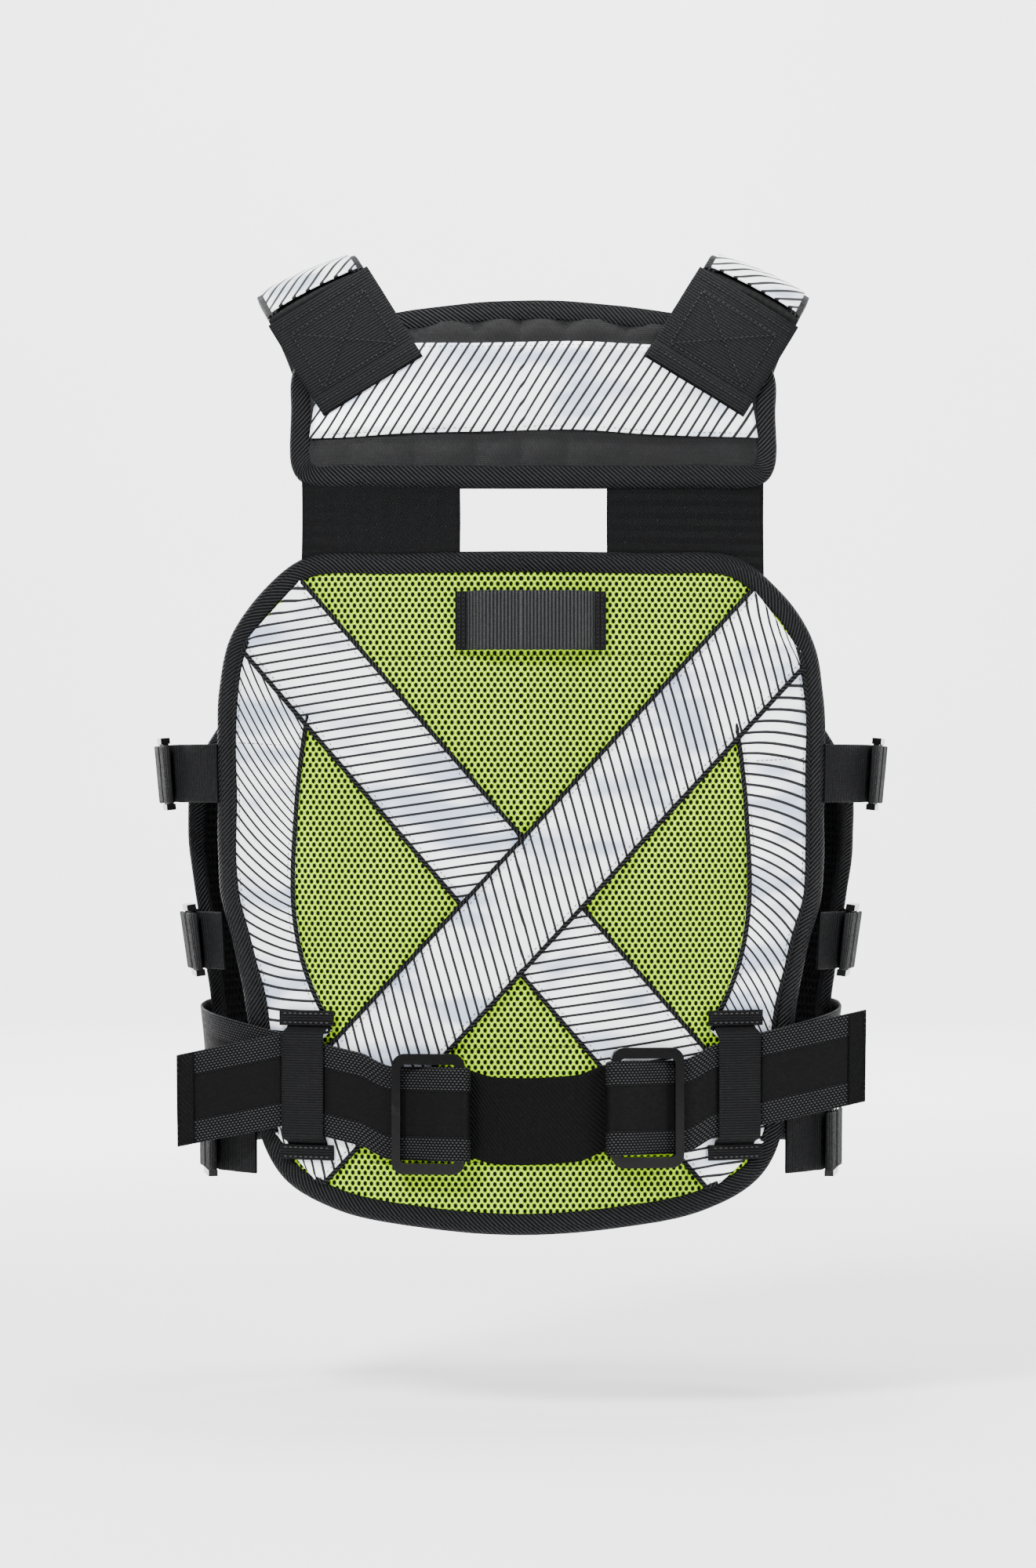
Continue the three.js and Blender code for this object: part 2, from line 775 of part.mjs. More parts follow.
function ladderLock() {
  const inside = sideWebbing + 1.6;
  const railY = inside / 2 + lockRail / 2;
  const barX = lockLength / 2 - lockBar;
  const rails = [-1, 1].map((k) => box(lockLength, lockRail, lockDepth, 0, k * railY, 0));
  const bars = [-barX, lockMiddleBar, barX].map((x) => rod(lockBar, inside + 2, 8, x, 0));
  const lip = box(5, inside - 8, 1.8, barX + 3.6, 0, 0.6);
  return join(...rails, ...bars, lip);
}

// Where a front panel's rear edge runs: distance round the torso at a height.
const frontEdge = [
  [frontTop, (z) => roundFront(140, z)],
  [-250, (z) => roundFront(178, z)],
  [-330, (z) => sideMiddle(z) + 42],
  [-385, (z) => sideMiddle(z) + 14],
  [-440, (z) => sideMiddle(z) + 10],
  [frontBottom - 10, (z) => sideMiddle(z) + 12],
];

function frontEdgeAt(z) {
  let i = frontEdge.findIndex(([level]) => level <= z);
  if (i < 1) i = i === 0 ? 1 : frontEdge.length - 1;
  const [high, upper] = frontEdge[i - 1];
  const [low, lower] = frontEdge[i];
  const t = (high - z) / (high - low);
  return upper(z) + (lower(z) - upper(z)) * t;
}

function backEdgeAt(z) {
  const crossings = backLoop.flatMap(([x, level], i) => {
    const [nextX, nextLevel] = backLoop[(i + 1) % backLoop.length];
    if (x < 0 || level < z === nextLevel < z) return [];
    return [x + ((nextX - x) * (z - level)) / (nextLevel - level)];
  });
  return Math.max(...crossings);
}

function buildSideAdjusters() {
  const reach = lockBar + slideGap + webbingThick / 2;
  const barOffset = lockLength / 2 - lockBar;
  for (const [place, z] of Object.entries(sideHeights)) {
    const middle = sideMiddle(z) - lockSetback;
    const panelEdge = round(backEdgeAt(z), z);
    const farEdge = Math.max(panelEdge, round(backEdgeAt(z - sideWebbing / 2), z));
    const rear = middle - barOffset;
    const ahead = middle + lockMiddleBar;
    const tabStart = Math.max(farEdge, round(backEdgeAt(z + sideWebbing / 2), z)) + gap * 2;
    const tab = [
      ...steps(tabStart, rear, 14).slice(0, -1).map((s) => [s, lockLift - reach]),
      ...turnRound(rear, lockLift, reach, 1),
      [rear - 12, lockLift + reach - 1.4],
    ];
    const edges = [-0.5, 0, 0.5].map((share) => frontEdgeAt(z + share * sideWebbing));
    const frontStart = Math.max(...edges) + sideSewn;
    const strap = [
      ...steps(frontStart, ahead, 14).slice(0, -1).map((s) => [s, lockLift - reach]),
      ...turnRound(ahead, lockLift, reach, -1),
      [barOffset + middle + 4, lockLift + reach],
      [barOffset + middle + 14, lockLift + reach + 0.6],
    ];
    for (const [name, side] of sides) {
      const mirror = (path) => path.map(([s, height]) => [side * s, height]);
      const ground = levelled(side * middle, z, lockLength * 0.65, 12);
      const band = (path) => webbing(mirror(path), z, sideWebbing, ground);
      add(`rear_tab_${place}_${name}`, band(tab), 'webbing');
      add(`side_strap_${place}_${name}`, band(strap), 'webbing');
      const group = seat(side * middle, z, lockLift, side < 0);
      add(`side_lock_${place}_${name}`, ladderLock(), 'plastic', group);
    }
  }
}

// ---- front panels ---------------------------------------------------------------------
const neckTop = 74;
const neckFoot = -236;

function buildFront() {
  const levels = steps(frontTop, frontBottom, 24);
  for (const [name, side] of sides) {
    const inner = levels.map((z) => {
      const open = Math.min(1, Math.max(0, (z - neckFoot) / (frontTop - neckFoot)));
      const x = frontGap / 2 + (neckTop - frontGap / 2) * open;
      return [side * roundFront(x, z), z];
    });
    const outer = levels.map((z) => [side * frontEdgeAt(z), z]);
    add(`front_panel_${name}`, sheet(inner, outer, 9, -panelThick, 0), 'mesh');
    const edge = (x, top) =>
      steps(top, frontBottom + 4, 20).map((z) => [side * roundFront(x, z), z]);
    const near = edge(frontTapeAt - frontTapeWidth / 2, neckFoot + 8);
    const far = edge(frontTapeAt + frontTapeWidth / 2, neckFoot + 8);
    const strip = sheet(near, far, 5, layerGap, layerGap + layer);
    add(`front_tape_${name}`, strip, 'tape');
  }
}

// ---- buckles with a male and a female half ----------------------------------------------
const buckleWall = 2;
const maleShift = 8; // from the female half's mouth to the male half's seat

function buckleSizes(width) {
  const outside = width + 10;
  return { outside, length: width * 0.5 + 24, depth: width * 0.1 + 8, slot: 5, bar: 4 };
}

// How far a strap's middle runs from the middle of the square bar that it goes round.
const turnRadius = (bar) => (bar / 2) * Math.SQRT2 + slideGap + webbingThick / 2;

// What is cut from a half for its strap. Local x runs from the mouth at 0 to the webbing.
function webbingEnd(width) {
  const { length, depth, slot, bar } = buckleSizes(width);
  const across = width + 1.6;
  const end = slot + bar + 1;
  const room = box(end, across, depth + 2, length - bar - slot + end / 2, 0, 0);
  return cut(room, box(bar + 2, across + 2, bar, length - bar / 2 + 1, 0, 0));
}

function femaleHalf(width) {
  const { outside, length, depth } = buckleSizes(width);
  const deep = length * 0.6;
  const shell = plate(roundedRectangle(length, outside, 4), depth).translate(length / 2, 0, 0);
  const mouth = box(deep + 1, outside - 3 * buckleWall, depth - 2 * buckleWall, deep / 2 - 0.5);
  const window = box(length * 0.3, outside + 2, depth - 2 * buckleWall, length * 0.36);
  return cut(shell, mouth, window, webbingEnd(width));
}

function maleHalf(width) {
  const { outside, length, depth } = buckleSizes(width);
  const thick = depth - 2 * buckleWall - 2 * buckleGap;
  const reach = length * 0.6 - buckleGap;
  const inside = outside - 3 * buckleWall - 2 * buckleGap;
  const base = plate(roundedRectangle(length - maleShift, outside, 4), depth - 1);
  const body = cut(base.translate(length / 2 + 4 - buckleGap, 0, 0), webbingEnd(width));
  const from = 10;
  const prong = (y, size) => box(reach + from, size, thick, (from - reach) / 2, y, 0);
  const outerY = inside / 2 - 2.5;
  return join(body, prong(0, width * 0.24), prong(outerY, 5), prong(-outerY, 5));
}

// Places both halves at the front's middle and gives the bars that their straps run round.
function buildBuckle(name, width, z, lift) {
  const middle = frontMiddle(z);
  const { length, bar } = buckleSizes(width);
  const barAt = length - bar / 2;
  add(`${name}_female`, femaleHalf(width), 'plastic', seat(middle, z, lift, true));
  const male = seat(middle, z, lift);
  male.translateX(maleShift);
  add(`${name}_male`, maleHalf(width), 'plastic', male);
  return { female: middle - barAt, male: middle + maleShift + barAt, middle };
}

const chestLift = 8;
const panelLift = layerGap + webbingThick / 2;
const sewnLift = 2 * layerGap + layer + webbingThick / 2;

function buildChestStrap() {
  const { length, bar } = buckleSizes(chestWebbing);
  const radius = turnRadius(bar);
  const bars = buildBuckle('chest_buckle', chestWebbing, chestZ, chestLift);
  const ground = levelled(bars.middle, chestZ, length * 1.7, 30);
  const reach = { right: bars.female, left: bars.male };
  for (const [name, side] of sides) {
    const at = reach[name];
    const outwards = name === 'right' ? -1 : 1;
    const path = [
      [at + outwards * 80, panelLift],
      [at + outwards * 66, panelLift],
      [at + outwards * 52, sewnLift],
      [at + outwards * 38, sewnLift],
      [at + outwards * 20, sewnLift + 0.6],
      ...turnRound(at, chestLift, radius, -outwards),
      [at + outwards * 16, chestLift + radius - 1],
      [at + outwards * 26, sewnLift + webbingThick + 1.6],
    ];
    add(`chest_strap_${name}`, webbing(path, chestZ, chestWebbing, ground), 'webbing');
  }
}

// ---- waist belt -------------------------------------------------------------------------
const bandLift = sewnLift;
const underLift = bandLift + webbingThick + 0.5;
const outerLift = underLift + webbingThick + 0.7;
const barLift = outerLift + webbingThick / 2 + slideGap + slideBar;
const foldRadius = slideBar * Math.SQRT2 + slideGap + webbingThick / 2;
const slideHalf = slideLength / 2 - slideBar;
const beltBuckleLift = 11;

// The belt's middle height, level where it runs through a slide.
function beltHeight(s) {
  const slide = s < 0 ? slideAt.left : slideAt.right;
  const away = s - slide;
  const eased = slide + away * smooth((2 * (Math.abs(away) - slideHalf)) / slideLength);
  return beltMid + beltRise * (1 - Math.exp(-((eased / beltRiseOver) ** 2)));
}

function beltSlide() {
  const tall = slideInside + 2 * 7;
  const frame = roundedRectangle(slideLength, tall, 8);
  const hole = roundedRectangle(slideLength - 4 * slideBar, slideInside, 3);
  frame.holes.push(hole);
  return plate(frame, 2 * slideBar, 4);
}

function buildBelt() {
  const band = steps(slideAt.left - 46, slideAt.right + 46, facet).map((s) => [s, bandLift]);
  add('belt_centre_band', webbing(band, beltHeight, beltWidth - 4), 'webbing');
  const front = beltHeight(frontMiddle(beltMid + beltRise));
  const { bar } = buckleSizes(beltWidth);
  const bars = buildBuckle('belt_buckle', beltWidth, front, beltBuckleLift);
  const frontGround = levelled(bars.middle, front, 75);
  for (const [name, side] of sides) {
    const slide = Math.abs(slideAt[name]);
    const s0 = side * slide;
    const slideGround = levelled(s0, beltHeight(s0), slideLength / 2, slideLength / 3);
    const ground = (s, z, height) => {
      const distance = side < 0 && s > 0 ? s - 2 * bars.middle : s;
      if (Math.abs(distance) > bars.middle / 2) {
        return frontGround(distance < 0 ? distance + 2 * bars.middle : distance, z, height);
      }
      return slideGround(distance, z, height);
    };
    const barAt = side > 0 ? bars.female : 2 * bars.middle - bars.male;
    const turn = turnRadius(bar);
    const path = [
      [barAt - 40, underLift + webbingThick + 1.2],
      [barAt - 20, beltBuckleLift + turn - 1],
      ...turnRound(barAt, beltBuckleLift, turn, 1).reverse(),
      [barAt - 16, underLift + 1],
      [barAt - 36, underLift],
      ...steps(barAt - 50, slide + slideHalf + 4, facet).map((s) => [s, underLift]),
      [slide, underLift],
      ...turnRound(slide - slideHalf, barLift, foldRadius, -1),
      [slide - slideHalf + 9, barLift + foldRadius - 0.8],
      [slide + 4, barLift - 1],
      [slide + slideHalf - 6, outerLift],
      ...steps(slide + slideHalf, keeperAt + keeperWidth / 2, facet).map((s) => [s, outerLift]),
    ];
    const mirrored = path.map(([s, height]) => [side * s, height]);
    add(`belt_${name}`, webbing(mirrored, beltHeight, beltWidth, ground), 'webbing');
    const group = seat(s0, beltHeight(s0), barLift);
    add(`belt_slide_${name}`, beltSlide(), 'plastic', group);
    buildKeeper(name, side);
    buildTail(name, side);
  }
}

// A strap sewn above and below the belt, which runs through behind it.
function buildKeeper(name, side) {
  const s = side * keeperAt;
  const middle = beltHeight(s);
  const reach = beltWidth / 2 + 5.5;
  const over = outerLift + webbingThick + 1.2;
  const half = [
    [reach + keeperTab, sewnLift],
    [reach + 2, sewnLift],
    [reach, (sewnLift + over) / 2],
    [reach - 2, over],
  ];
  const path = [...half, ...half.map(([z, h]) => [-z, h]).reverse()];
  const shape = bandSolid(path, webbingThick, (z, height, edge) =>
    skin(s + (edge ? 1 : -1) * (keeperWidth / 2), middle + z, height),
  );
  add(`belt_keeper_${name}`, shape, 'webbing');
}

// The belt's free end, which stands straight out past its keeper.
function buildTail(name, side) {
  const s = side * (keeperAt + keeperWidth / 2 + 1);
  const z = beltHeight(s);
  const rise = (beltHeight(s + side * 6) - z) / 6;
  const group = seat(s, z, outerLift, side < 0);
  const tail = new THREE.Group();
  tail.rotation.y = THREE.MathUtils.degToRad(-tailTurn);
  group.add(tail);
  const shape = gridSolid(2, 2, (i, j, face) => {
    const x = gap + i * tailLength;
    const lean = side * x * rise;
    return new THREE.Vector3(x, (j - 0.5) * beltWidth + lean, (face - 0.5) * webbingThick);
  });
  add(`belt_tail_${name}`, shape, 'webbing', tail);
}

buildYoke();
buildShoulders();
buildFrontStraps();
buildBack();
buildElastics();
buildSideAdjusters();
buildFront();
buildChestStrap();
buildBelt();

export default vest;
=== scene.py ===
import math
from contextlib import contextmanager

import bmesh
import bpy
import numpy as np
from mathutils import Matrix, Vector


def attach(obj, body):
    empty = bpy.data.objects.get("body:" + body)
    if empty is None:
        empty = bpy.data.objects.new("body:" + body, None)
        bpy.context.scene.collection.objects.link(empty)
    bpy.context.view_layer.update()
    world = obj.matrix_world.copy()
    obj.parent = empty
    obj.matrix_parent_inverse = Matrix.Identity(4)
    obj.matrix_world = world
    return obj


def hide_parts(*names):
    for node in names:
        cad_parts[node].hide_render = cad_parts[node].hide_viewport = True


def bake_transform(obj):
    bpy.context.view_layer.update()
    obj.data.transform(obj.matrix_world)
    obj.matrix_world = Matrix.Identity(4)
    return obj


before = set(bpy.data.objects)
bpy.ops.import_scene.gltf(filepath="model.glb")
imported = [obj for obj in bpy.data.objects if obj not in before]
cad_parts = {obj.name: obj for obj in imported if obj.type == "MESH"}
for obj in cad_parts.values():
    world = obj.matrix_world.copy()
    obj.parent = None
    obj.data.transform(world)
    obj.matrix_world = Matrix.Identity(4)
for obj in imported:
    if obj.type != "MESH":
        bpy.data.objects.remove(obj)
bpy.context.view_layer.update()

# The vest is worked out in millimetres on the torso that it is shaped to, and made in metres.
MM = 0.001
MERGED = 2e-6
SIDES = (("left", -1), ("right", 1))
PLACES = {"upper": -323, "middle": -432, "lower": -564}

# ---- the torso ------------------------------------------------------------------------
# height, half width, half depth at the back, half depth at the front
STATIONS = np.array([
    (-660, 202, 126, 120),
    (-520, 203, 122, 119),
    (-430, 213, 127, 121),
    (-330, 230, 134, 123),
    (-250, 233, 137, 121),
    (-140, 231, 131, 113),
    (-70, 226, 118, 99),
    (-20, 215, 101, 85),
    (20, 200, 80, 70),
], float)
SQUARENESS = 2.5
LEVEL_STEP = 4.0
LENGTH_STEP = 2.0


def along(z, column):
    """A column of STATIONS at any height, on a smooth curve through its values."""
    levels, values = STATIONS[:, 0], STATIONS[:, column]
    high = np.clip(np.searchsorted(levels, z, side="right"), 1, len(levels) - 1)
    low = high - 1
    before = np.maximum(low - 1, 0)
    after = np.minimum(high + 1, len(levels) - 1)
    span = levels[high] - levels[low]
    leaving = (values[high] - values[before]) / (levels[high] - levels[before]) * span
    arriving = (values[after] - values[low]) / (levels[after] - levels[low]) * span
    t = (z - levels[low]) / span
    return (
        (2 * t**3 - 3 * t**2 + 1) * values[low]
        + (t**3 - 2 * t**2 + t) * leaving
        + (3 * t**2 - 2 * t**3) * values[high]
        + (t**3 - t**2) * arriving
    )


def section(turn, z):
    """The outline at a turn from 0 at the back's middle to pi at the front's."""
    power = 2 / SQUARENESS
    ahead = -np.cos(turn)
    depth = np.where(ahead < 0, along(z, 2), along(z, 3))
    x = along(z, 1) * np.abs(np.sin(turn)) ** power
    return x, np.sign(ahead) * depth * np.abs(ahead) ** power


LEVELS = np.arange(-680.0, 44.0, LEVEL_STEP)
TURNS = np.linspace(0, math.pi, 321)
outline_x, outline_y = section(TURNS[None, :], LEVELS[:, None])
pieces_long = np.hypot(np.diff(outline_x, axis=1), np.diff(outline_y, axis=1))
LENGTHS = np.hstack([np.zeros((len(LEVELS), 1)), np.cumsum(pieces_long, axis=1)])
REACH = np.arange(0.0, 800.0, LENGTH_STEP)
TURN_AT = np.array([np.interp(REACH, row, TURNS) for row in LENGTHS])


def read(table, z, place):
    """A value between a table's rows, which are levels, and its columns."""
    row = np.clip((z - LEVELS[0]) / LEVEL_STEP, 0, len(LEVELS) - 1.001)
    column = np.clip(place, 0, table.shape[1] - 1.001)
    i, j = row.astype(int), column.astype(int)
    a, b = row - i, column - j
    near = table[i, j] * (1 - b) + table[i, j + 1] * b
    far = table[i + 1, j] * (1 - b) + table[i + 1, j + 1] * b
    return near * (1 - a) + far * a


def paired(*values):
    return np.broadcast_arrays(*[np.asarray(v, float) for v in values])


def length_at(turn, z):
    turn, z = paired(turn, z)
    return read(LENGTHS, z, turn / (TURNS[1] - TURNS[0]))


def round_back(x, z):
    """Distance round the torso to a point that is seen at x from behind."""
    x, z = paired(x, z)
    share = np.minimum(1, np.abs(x) / along(z, 1))
    return np.sign(x) * length_at(np.arcsin(share ** (SQUARENESS / 2)), z)


def round_front(x, z):
    """Distance round the torso to a point that is at x from the front's middle."""
    x, z = paired(x, z)
    share = np.minimum(1, np.abs(x) / along(z, 1))
    return np.sign(x) * length_at(math.pi - np.arcsin(share ** (SQUARENESS / 2)), z)


def side_middle(z):
    return length_at(math.pi / 2, z)


def front_middle(z):
    return length_at(math.pi, z)


def surface(s, z):
    """The point of the torso at a distance round it from the back's middle, at a height."""
    s, z = paired(s, z)
    half = front_middle(z)
    s = np.where(np.abs(s) > half, s - 2 * half * np.sign(s), s)
    x, y = section(read(TURN_AT, z, np.abs(s) / LENGTH_STEP), z)
    return np.stack([np.where(s < 0, -x, x), y, z], -1)


def unit(v):
    return v / np.linalg.norm(v, axis=-1, keepdims=True)


def axes(s, z):
    """The directions round the torso, up it and out of it."""
    s, z = paired(s, z)
    tangent = unit(surface(s + 2, z) - surface(s - 2, z))
    normal = unit(np.cross(tangent, surface(s, z + 2) - surface(s, z - 2)))
    return tangent, np.cross(normal, tangent), normal


def skin(s, z, height):
    """The point that stands a height out of the torso."""
    s, z, height = paired(s, z, height)
    return surface(s, z) + axes(s, z)[2] * height[..., None]


def back(x, z, height):
    return skin(round_back(x, z), z, height)


def smooth(t):
    t = np.clip(t, 0, 1)
    return t * t * (3 - 2 * t)


def bell(value, middle, wide):
    """One at the middle, falling to nothing on both sides of it."""
    return np.exp(-((value - middle) / wide) ** 2)


def levelled(s0, z0, reach, blend):
    """Ground that is flat round a buckle and joins the torso beyond it."""
    middle = surface(s0, z0)
    tangent, up, normal = axes(s0, z0)

    def ground(s, z, height):
        s, z, height = (v[..., None] for v in paired(s, z, height))
        flat = middle + (s - s0) * tangent + (z - z0) * up + height * normal
        share = smooth((np.abs(s - s0) - reach) / blend)
        return flat * (1 - share) + skin(s[..., 0], z[..., 0], height[..., 0]) * share

    return ground


# ---- lines and outlines ---------------------------------------------------------------
def through(points, step, closed=False):
    """Even points along a smooth curve through these points."""
    p = np.array(points, float)
    ends = [p[-1:], p, p[:2]] if closed else [2 * p[:1] - p[1:2], p, 2 * p[-1:] - p[-2:-1]]
    p = np.vstack(ends)
    fine = []
    for a, b, c, d in zip(p, p[1:], p[2:], p[3:]):
        t0 = 0.0
        t1 = t0 + math.sqrt(max(1e-6, np.linalg.norm(b - a)))
        t2 = t1 + math.sqrt(max(1e-6, np.linalg.norm(c - b)))
        t3 = t2 + math.sqrt(max(1e-6, np.linalg.norm(d - c)))
        t = np.linspace(t1, t2, 16, endpoint=False)[:, None]
        ab = (t1 - t) / (t1 - t0) * a + (t - t0) / (t1 - t0) * b
        bc = (t2 - t) / (t2 - t1) * b + (t - t1) / (t2 - t1) * c
        cd = (t3 - t) / (t3 - t2) * c + (t - t2) / (t3 - t2) * d
        abc = (t2 - t) / (t2 - t0) * ab + (t - t0) / (t2 - t0) * bc
        bcd = (t3 - t) / (t3 - t1) * bc + (t - t1) / (t3 - t1) * cd
        fine.append((t2 - t) / (t2 - t1) * abc + (t - t1) / (t2 - t1) * bcd)
    fine = np.vstack([*fine, p[-2:-1]])
    return evenly(fine, step)


def lengths_of(line):
    """How far along a line each of its points lies."""
    return np.concatenate([[0], np.cumsum(np.linalg.norm(np.diff(line, axis=0), axis=1))])


def evenly(line, step):
    far = lengths_of(line)
    count = max(2, int(math.ceil(far[-1] / step)) + 1)
    at = np.linspace(0, far[-1], count)
    return np.stack([np.interp(at, far, line[:, k]) for k in range(line.shape[1])], -1)


def outline(half, shift=0.0, step=4.0):
    """A closed clockwise outline, as seen from behind, from its right half."""
    left = [(-x, z) for x, z in half[1:-1]][::-1]
    line = through(half + left, step, closed=True)[:-1]
    return line + np.array([shift, 0.0])


def square_to(ahead):
    """The directions at a right angle to these, to their left."""
    ahead = unit(ahead)
    return np.stack([-ahead[:, 1], ahead[:, 0]], -1)


def outward(loop):
    return square_to(np.roll(loop, -1, axis=0) - np.roll(loop, 1, axis=0))


def inset(loop, distance):
    """A closed outline moved inward."""
    return loop - outward(loop) * distance


def kept_inside(loop, x, z):
    """The point, or the nearest one on the outline where the point lies outside."""
    start, end = loop, np.roll(loop, -1, axis=0)
    d = end - start
    point = np.array([x, z])
    t = np.clip(((point - start) * d).sum(1) / (d * d).sum(1), 0, 1)
    near = start + d * t[:, None]
    i = np.argmin(((near - point) ** 2).sum(1))
    inside = (x - start[i, 0]) * d[i, 1] - (z - start[i, 1]) * d[i, 0] > 0
    return point if inside else near[i]


def crossings(loop, value, axis):
    """Where an outline crosses a line of constant height (axis 1) or constant x (axis 0)."""
    a, b = loop, np.roll(loop, -1, axis=0)
    hit = (a[:, axis] < value) != (b[:, axis] < value)
    a, b = a[hit], b[hit]
    t = (value - a[:, axis]) / (b[:, axis] - a[:, axis])
    return a[:, 1 - axis] + (b[:, 1 - axis] - a[:, 1 - axis]) * t


def nearest(share, items):
    """The number of the item that lies nearest a share from 0 to 1 of the way along them."""
    return np.rint(share * (len(items) - 1)).astype(int)


# ---- making pieces --------------------------------------------------------------------
@contextmanager
def edited(mesh):
    """The mesh as a bmesh, which is written back at the end."""
    bm = bmesh.new()
    bm.from_mesh(mesh)
    yield bm
    bm.to_mesh(mesh)
    bm.free()


def finish_piece(mesh, material, body, nodes=()):
    """A piece named after its mesh, on its body if it is given one."""
    piece = bpy.data.objects.new(mesh.name, mesh)
    bpy.context.scene.collection.objects.link(piece)
    mesh.materials.append(material)
    mesh.polygons.foreach_set("use_smooth", [True] * len(mesh.polygons))
    if body:
        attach(piece, body)
    if nodes:
        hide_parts(*nodes)
    return piece


def woven(name, columns, rows, place, seams=False, closed_ends=False):
    """A grid whose place(u, v), each from 0 to 1, gives points in mm and a cloth map in mm."""
    mesh = bpy.data.meshes.new(name)
    with edited(mesh) as bm:
        bmesh.ops.create_grid(bm, x_segments=columns, y_segments=rows, size=0.5)
    count = len(mesh.vertices)
    flat = np.empty(count * 3)
    mesh.vertices.foreach_get("co", flat)
    flat = flat.reshape(-1, 3)
    low, high = flat.min(0), flat.max(0)
    u = (flat[:, 0] - low[0]) / (high[0] - low[0])
    v = (flat[:, 1] - low[1]) / (high[1] - low[1])
    points, cloth = place(u, v)
    mesh.vertices.foreach_set("co", (points * MM).ravel())
    corners = np.empty(len(mesh.loops), int)
    mesh.loops.foreach_get("vertex_index", corners)
    layer = mesh.uv_layers.new(name="cloth")
    layer.data.foreach_set("uv", (cloth[corners] * MM).ravel())
    mesh.update()
    if seams or closed_ends:
        with edited(mesh) as bm:
            bmesh.ops.remove_doubles(bm, verts=bm.verts, dist=MERGED)
            if closed_ends:
                rim = [e for e in bm.edges if e.is_boundary]
                bmesh.ops.holes_fill(bm, edges=rim, sides=0)
            bmesh.ops.recalc_face_normals(bm, faces=bm.faces)
    return mesh


def thicken(piece, thick, lining=None):
    """Gives a sheet its thickness, and its inner face and rim the lining's finish."""
    solidify = piece.modifiers.new("cloth", "SOLIDIFY")
    solidify.thickness = thick * MM
    solidify.offset = -1.0
    if lining:
        piece.data.materials.append(lining)
        solidify.material_offset = solidify.material_offset_rim = 1


def apply_solid(piece, thick):
    """Gives a sheet its thickness in its own mesh."""
    with edited(piece.data) as bm:
        bmesh.ops.solidify(bm, geom=bm.faces[:], thickness=thick * MM)
        bmesh.ops.recalc_face_normals(bm, faces=bm.faces)


def make_outward(piece):
    """Turns a sheet's faces so that they point away from the torso's middle."""
    mesh = piece.data
    face = mesh.polygons[len(mesh.polygons) // 2]
    if face.normal.x * face.center.x + face.normal.y * face.center.y < 0:
        mesh.flip_normals()


def heights_of(height):
    """A height as a function of the share of the way along a line."""
    return height if callable(height) else (lambda u: np.full_like(u, float(height)))


def edge_profile(width, thick, flat=6, edge=3):
    """A flat strap's cross-section with rounded edges, once round, as across and height."""
    r = thick / 2
    reach = width / 2 - r
    top = [(a, r) for a in np.linspace(-reach, reach, flat + 1)]
    turn = [math.pi / 2 - math.pi * k / edge for k in range(1, edge)]
    right = [(reach + r * math.cos(a), r * math.sin(a)) for a in turn]
    bottom = [(-a, -h) for a, h in top]
    left = [(-a, -h) for a, h in right]
    return np.array(top + right + bottom + left + top[:1])


def ribbon(name, path, width, ground, thick=1.6, step=2.5, ripple=0.0, flat=6):
    """Webbing along a path of (distance, height), on ground(distance, across, height)."""
    line = through(path, step)
    out = square_to(np.gradient(line, axis=0))
    profile = edge_profile(width, thick, flat)
    far = lengths_of(line)
    wave = ripple * np.sin(far / 17.0 + len(name)) * np.sin(far / 41.0 + 1)

    def place(u, v):
        i = nearest(u, line)
        j = nearest(v, profile)
        across, height = profile[j, 0], profile[j, 1] + wave[i] * np.cos(profile[j, 0] / width * 3)
        at = line[i] + out[i] * height[:, None]
        return ground(at[:, 0], across, at[:, 1]), np.stack([far[i], across], -1)

    return woven(name, len(line) - 1, len(profile) - 1, place, seams=True, closed_ends=True)


def strap(name, path, width, ground, material, body, nodes=(), **weave):
    """A finished piece of webbing along a path of (distance, height)."""
    mesh = ribbon(name, path, width, ground, **weave)
    return finish_piece(mesh, material, body, nodes)


def border(name, loop, width, low, high, ground=back):
    """A folded binding along a closed outline, its outer edge on the outline."""
    thick = high - low
    r = min(thick / 2, width / 2) * 0.92
    corner = [math.pi / 2 * k / 4 for k in range(5)]
    outer = [(-r + r * math.sin(a), high - r + r * math.cos(a)) for a in corner]
    under = [(-r + r * math.cos(a), low + r - r * math.sin(a)) for a in corner]
    fold = 1.1
    inner = [
        (-width + 0.4, low),
        (-width, low + fold),
        (-width, high - fold),
        (-width + 0.5, high - 0.25),
        (-width * 0.6, high),
    ]
    profile = np.array(outer + under + inner + outer[:1])
    around = lengths_of(profile)
    line = np.vstack([loop, loop[:1]])
    normal = outward(loop)
    normal = np.vstack([normal, normal[:1]])
    far = lengths_of(line)

    def place(u, v):
        i = nearest(u, line)
        j = nearest(v, profile)
        at = line[i] + normal[i] * profile[j, :1]
        wave = 0.35 * np.sin(far[i] / 23.0) * np.sin(far[i] / 9.1)
        return ground(at[:, 0], at[:, 1], profile[j, 1] + wave), np.stack([far[i], around[j]], -1)

    return woven(name, len(line) - 1, len(profile) - 1, place, seams=True)


def filled(name, loop, columns, rows, height):
    """A sheet that fills an outline on the back."""
    low, high = loop[:, 1].min() + 0.4, loop[:, 1].max() - 0.4
    levels = np.linspace(low, high, rows + 1)
    ends = np.array([(crossings(loop, z, 1).min(), crossings(loop, z, 1).max()) for z in levels])

    def place(u, v):
        i = nearest(v, levels)
        x = ends[i, 0] + (ends[i, 1] - ends[i, 0]) * u
        z = levels[i]
        s = round_back(x, z)
        return skin(s, z, height(x, z)), np.stack([s, z], -1)

    return woven(name, columns, rows, place)


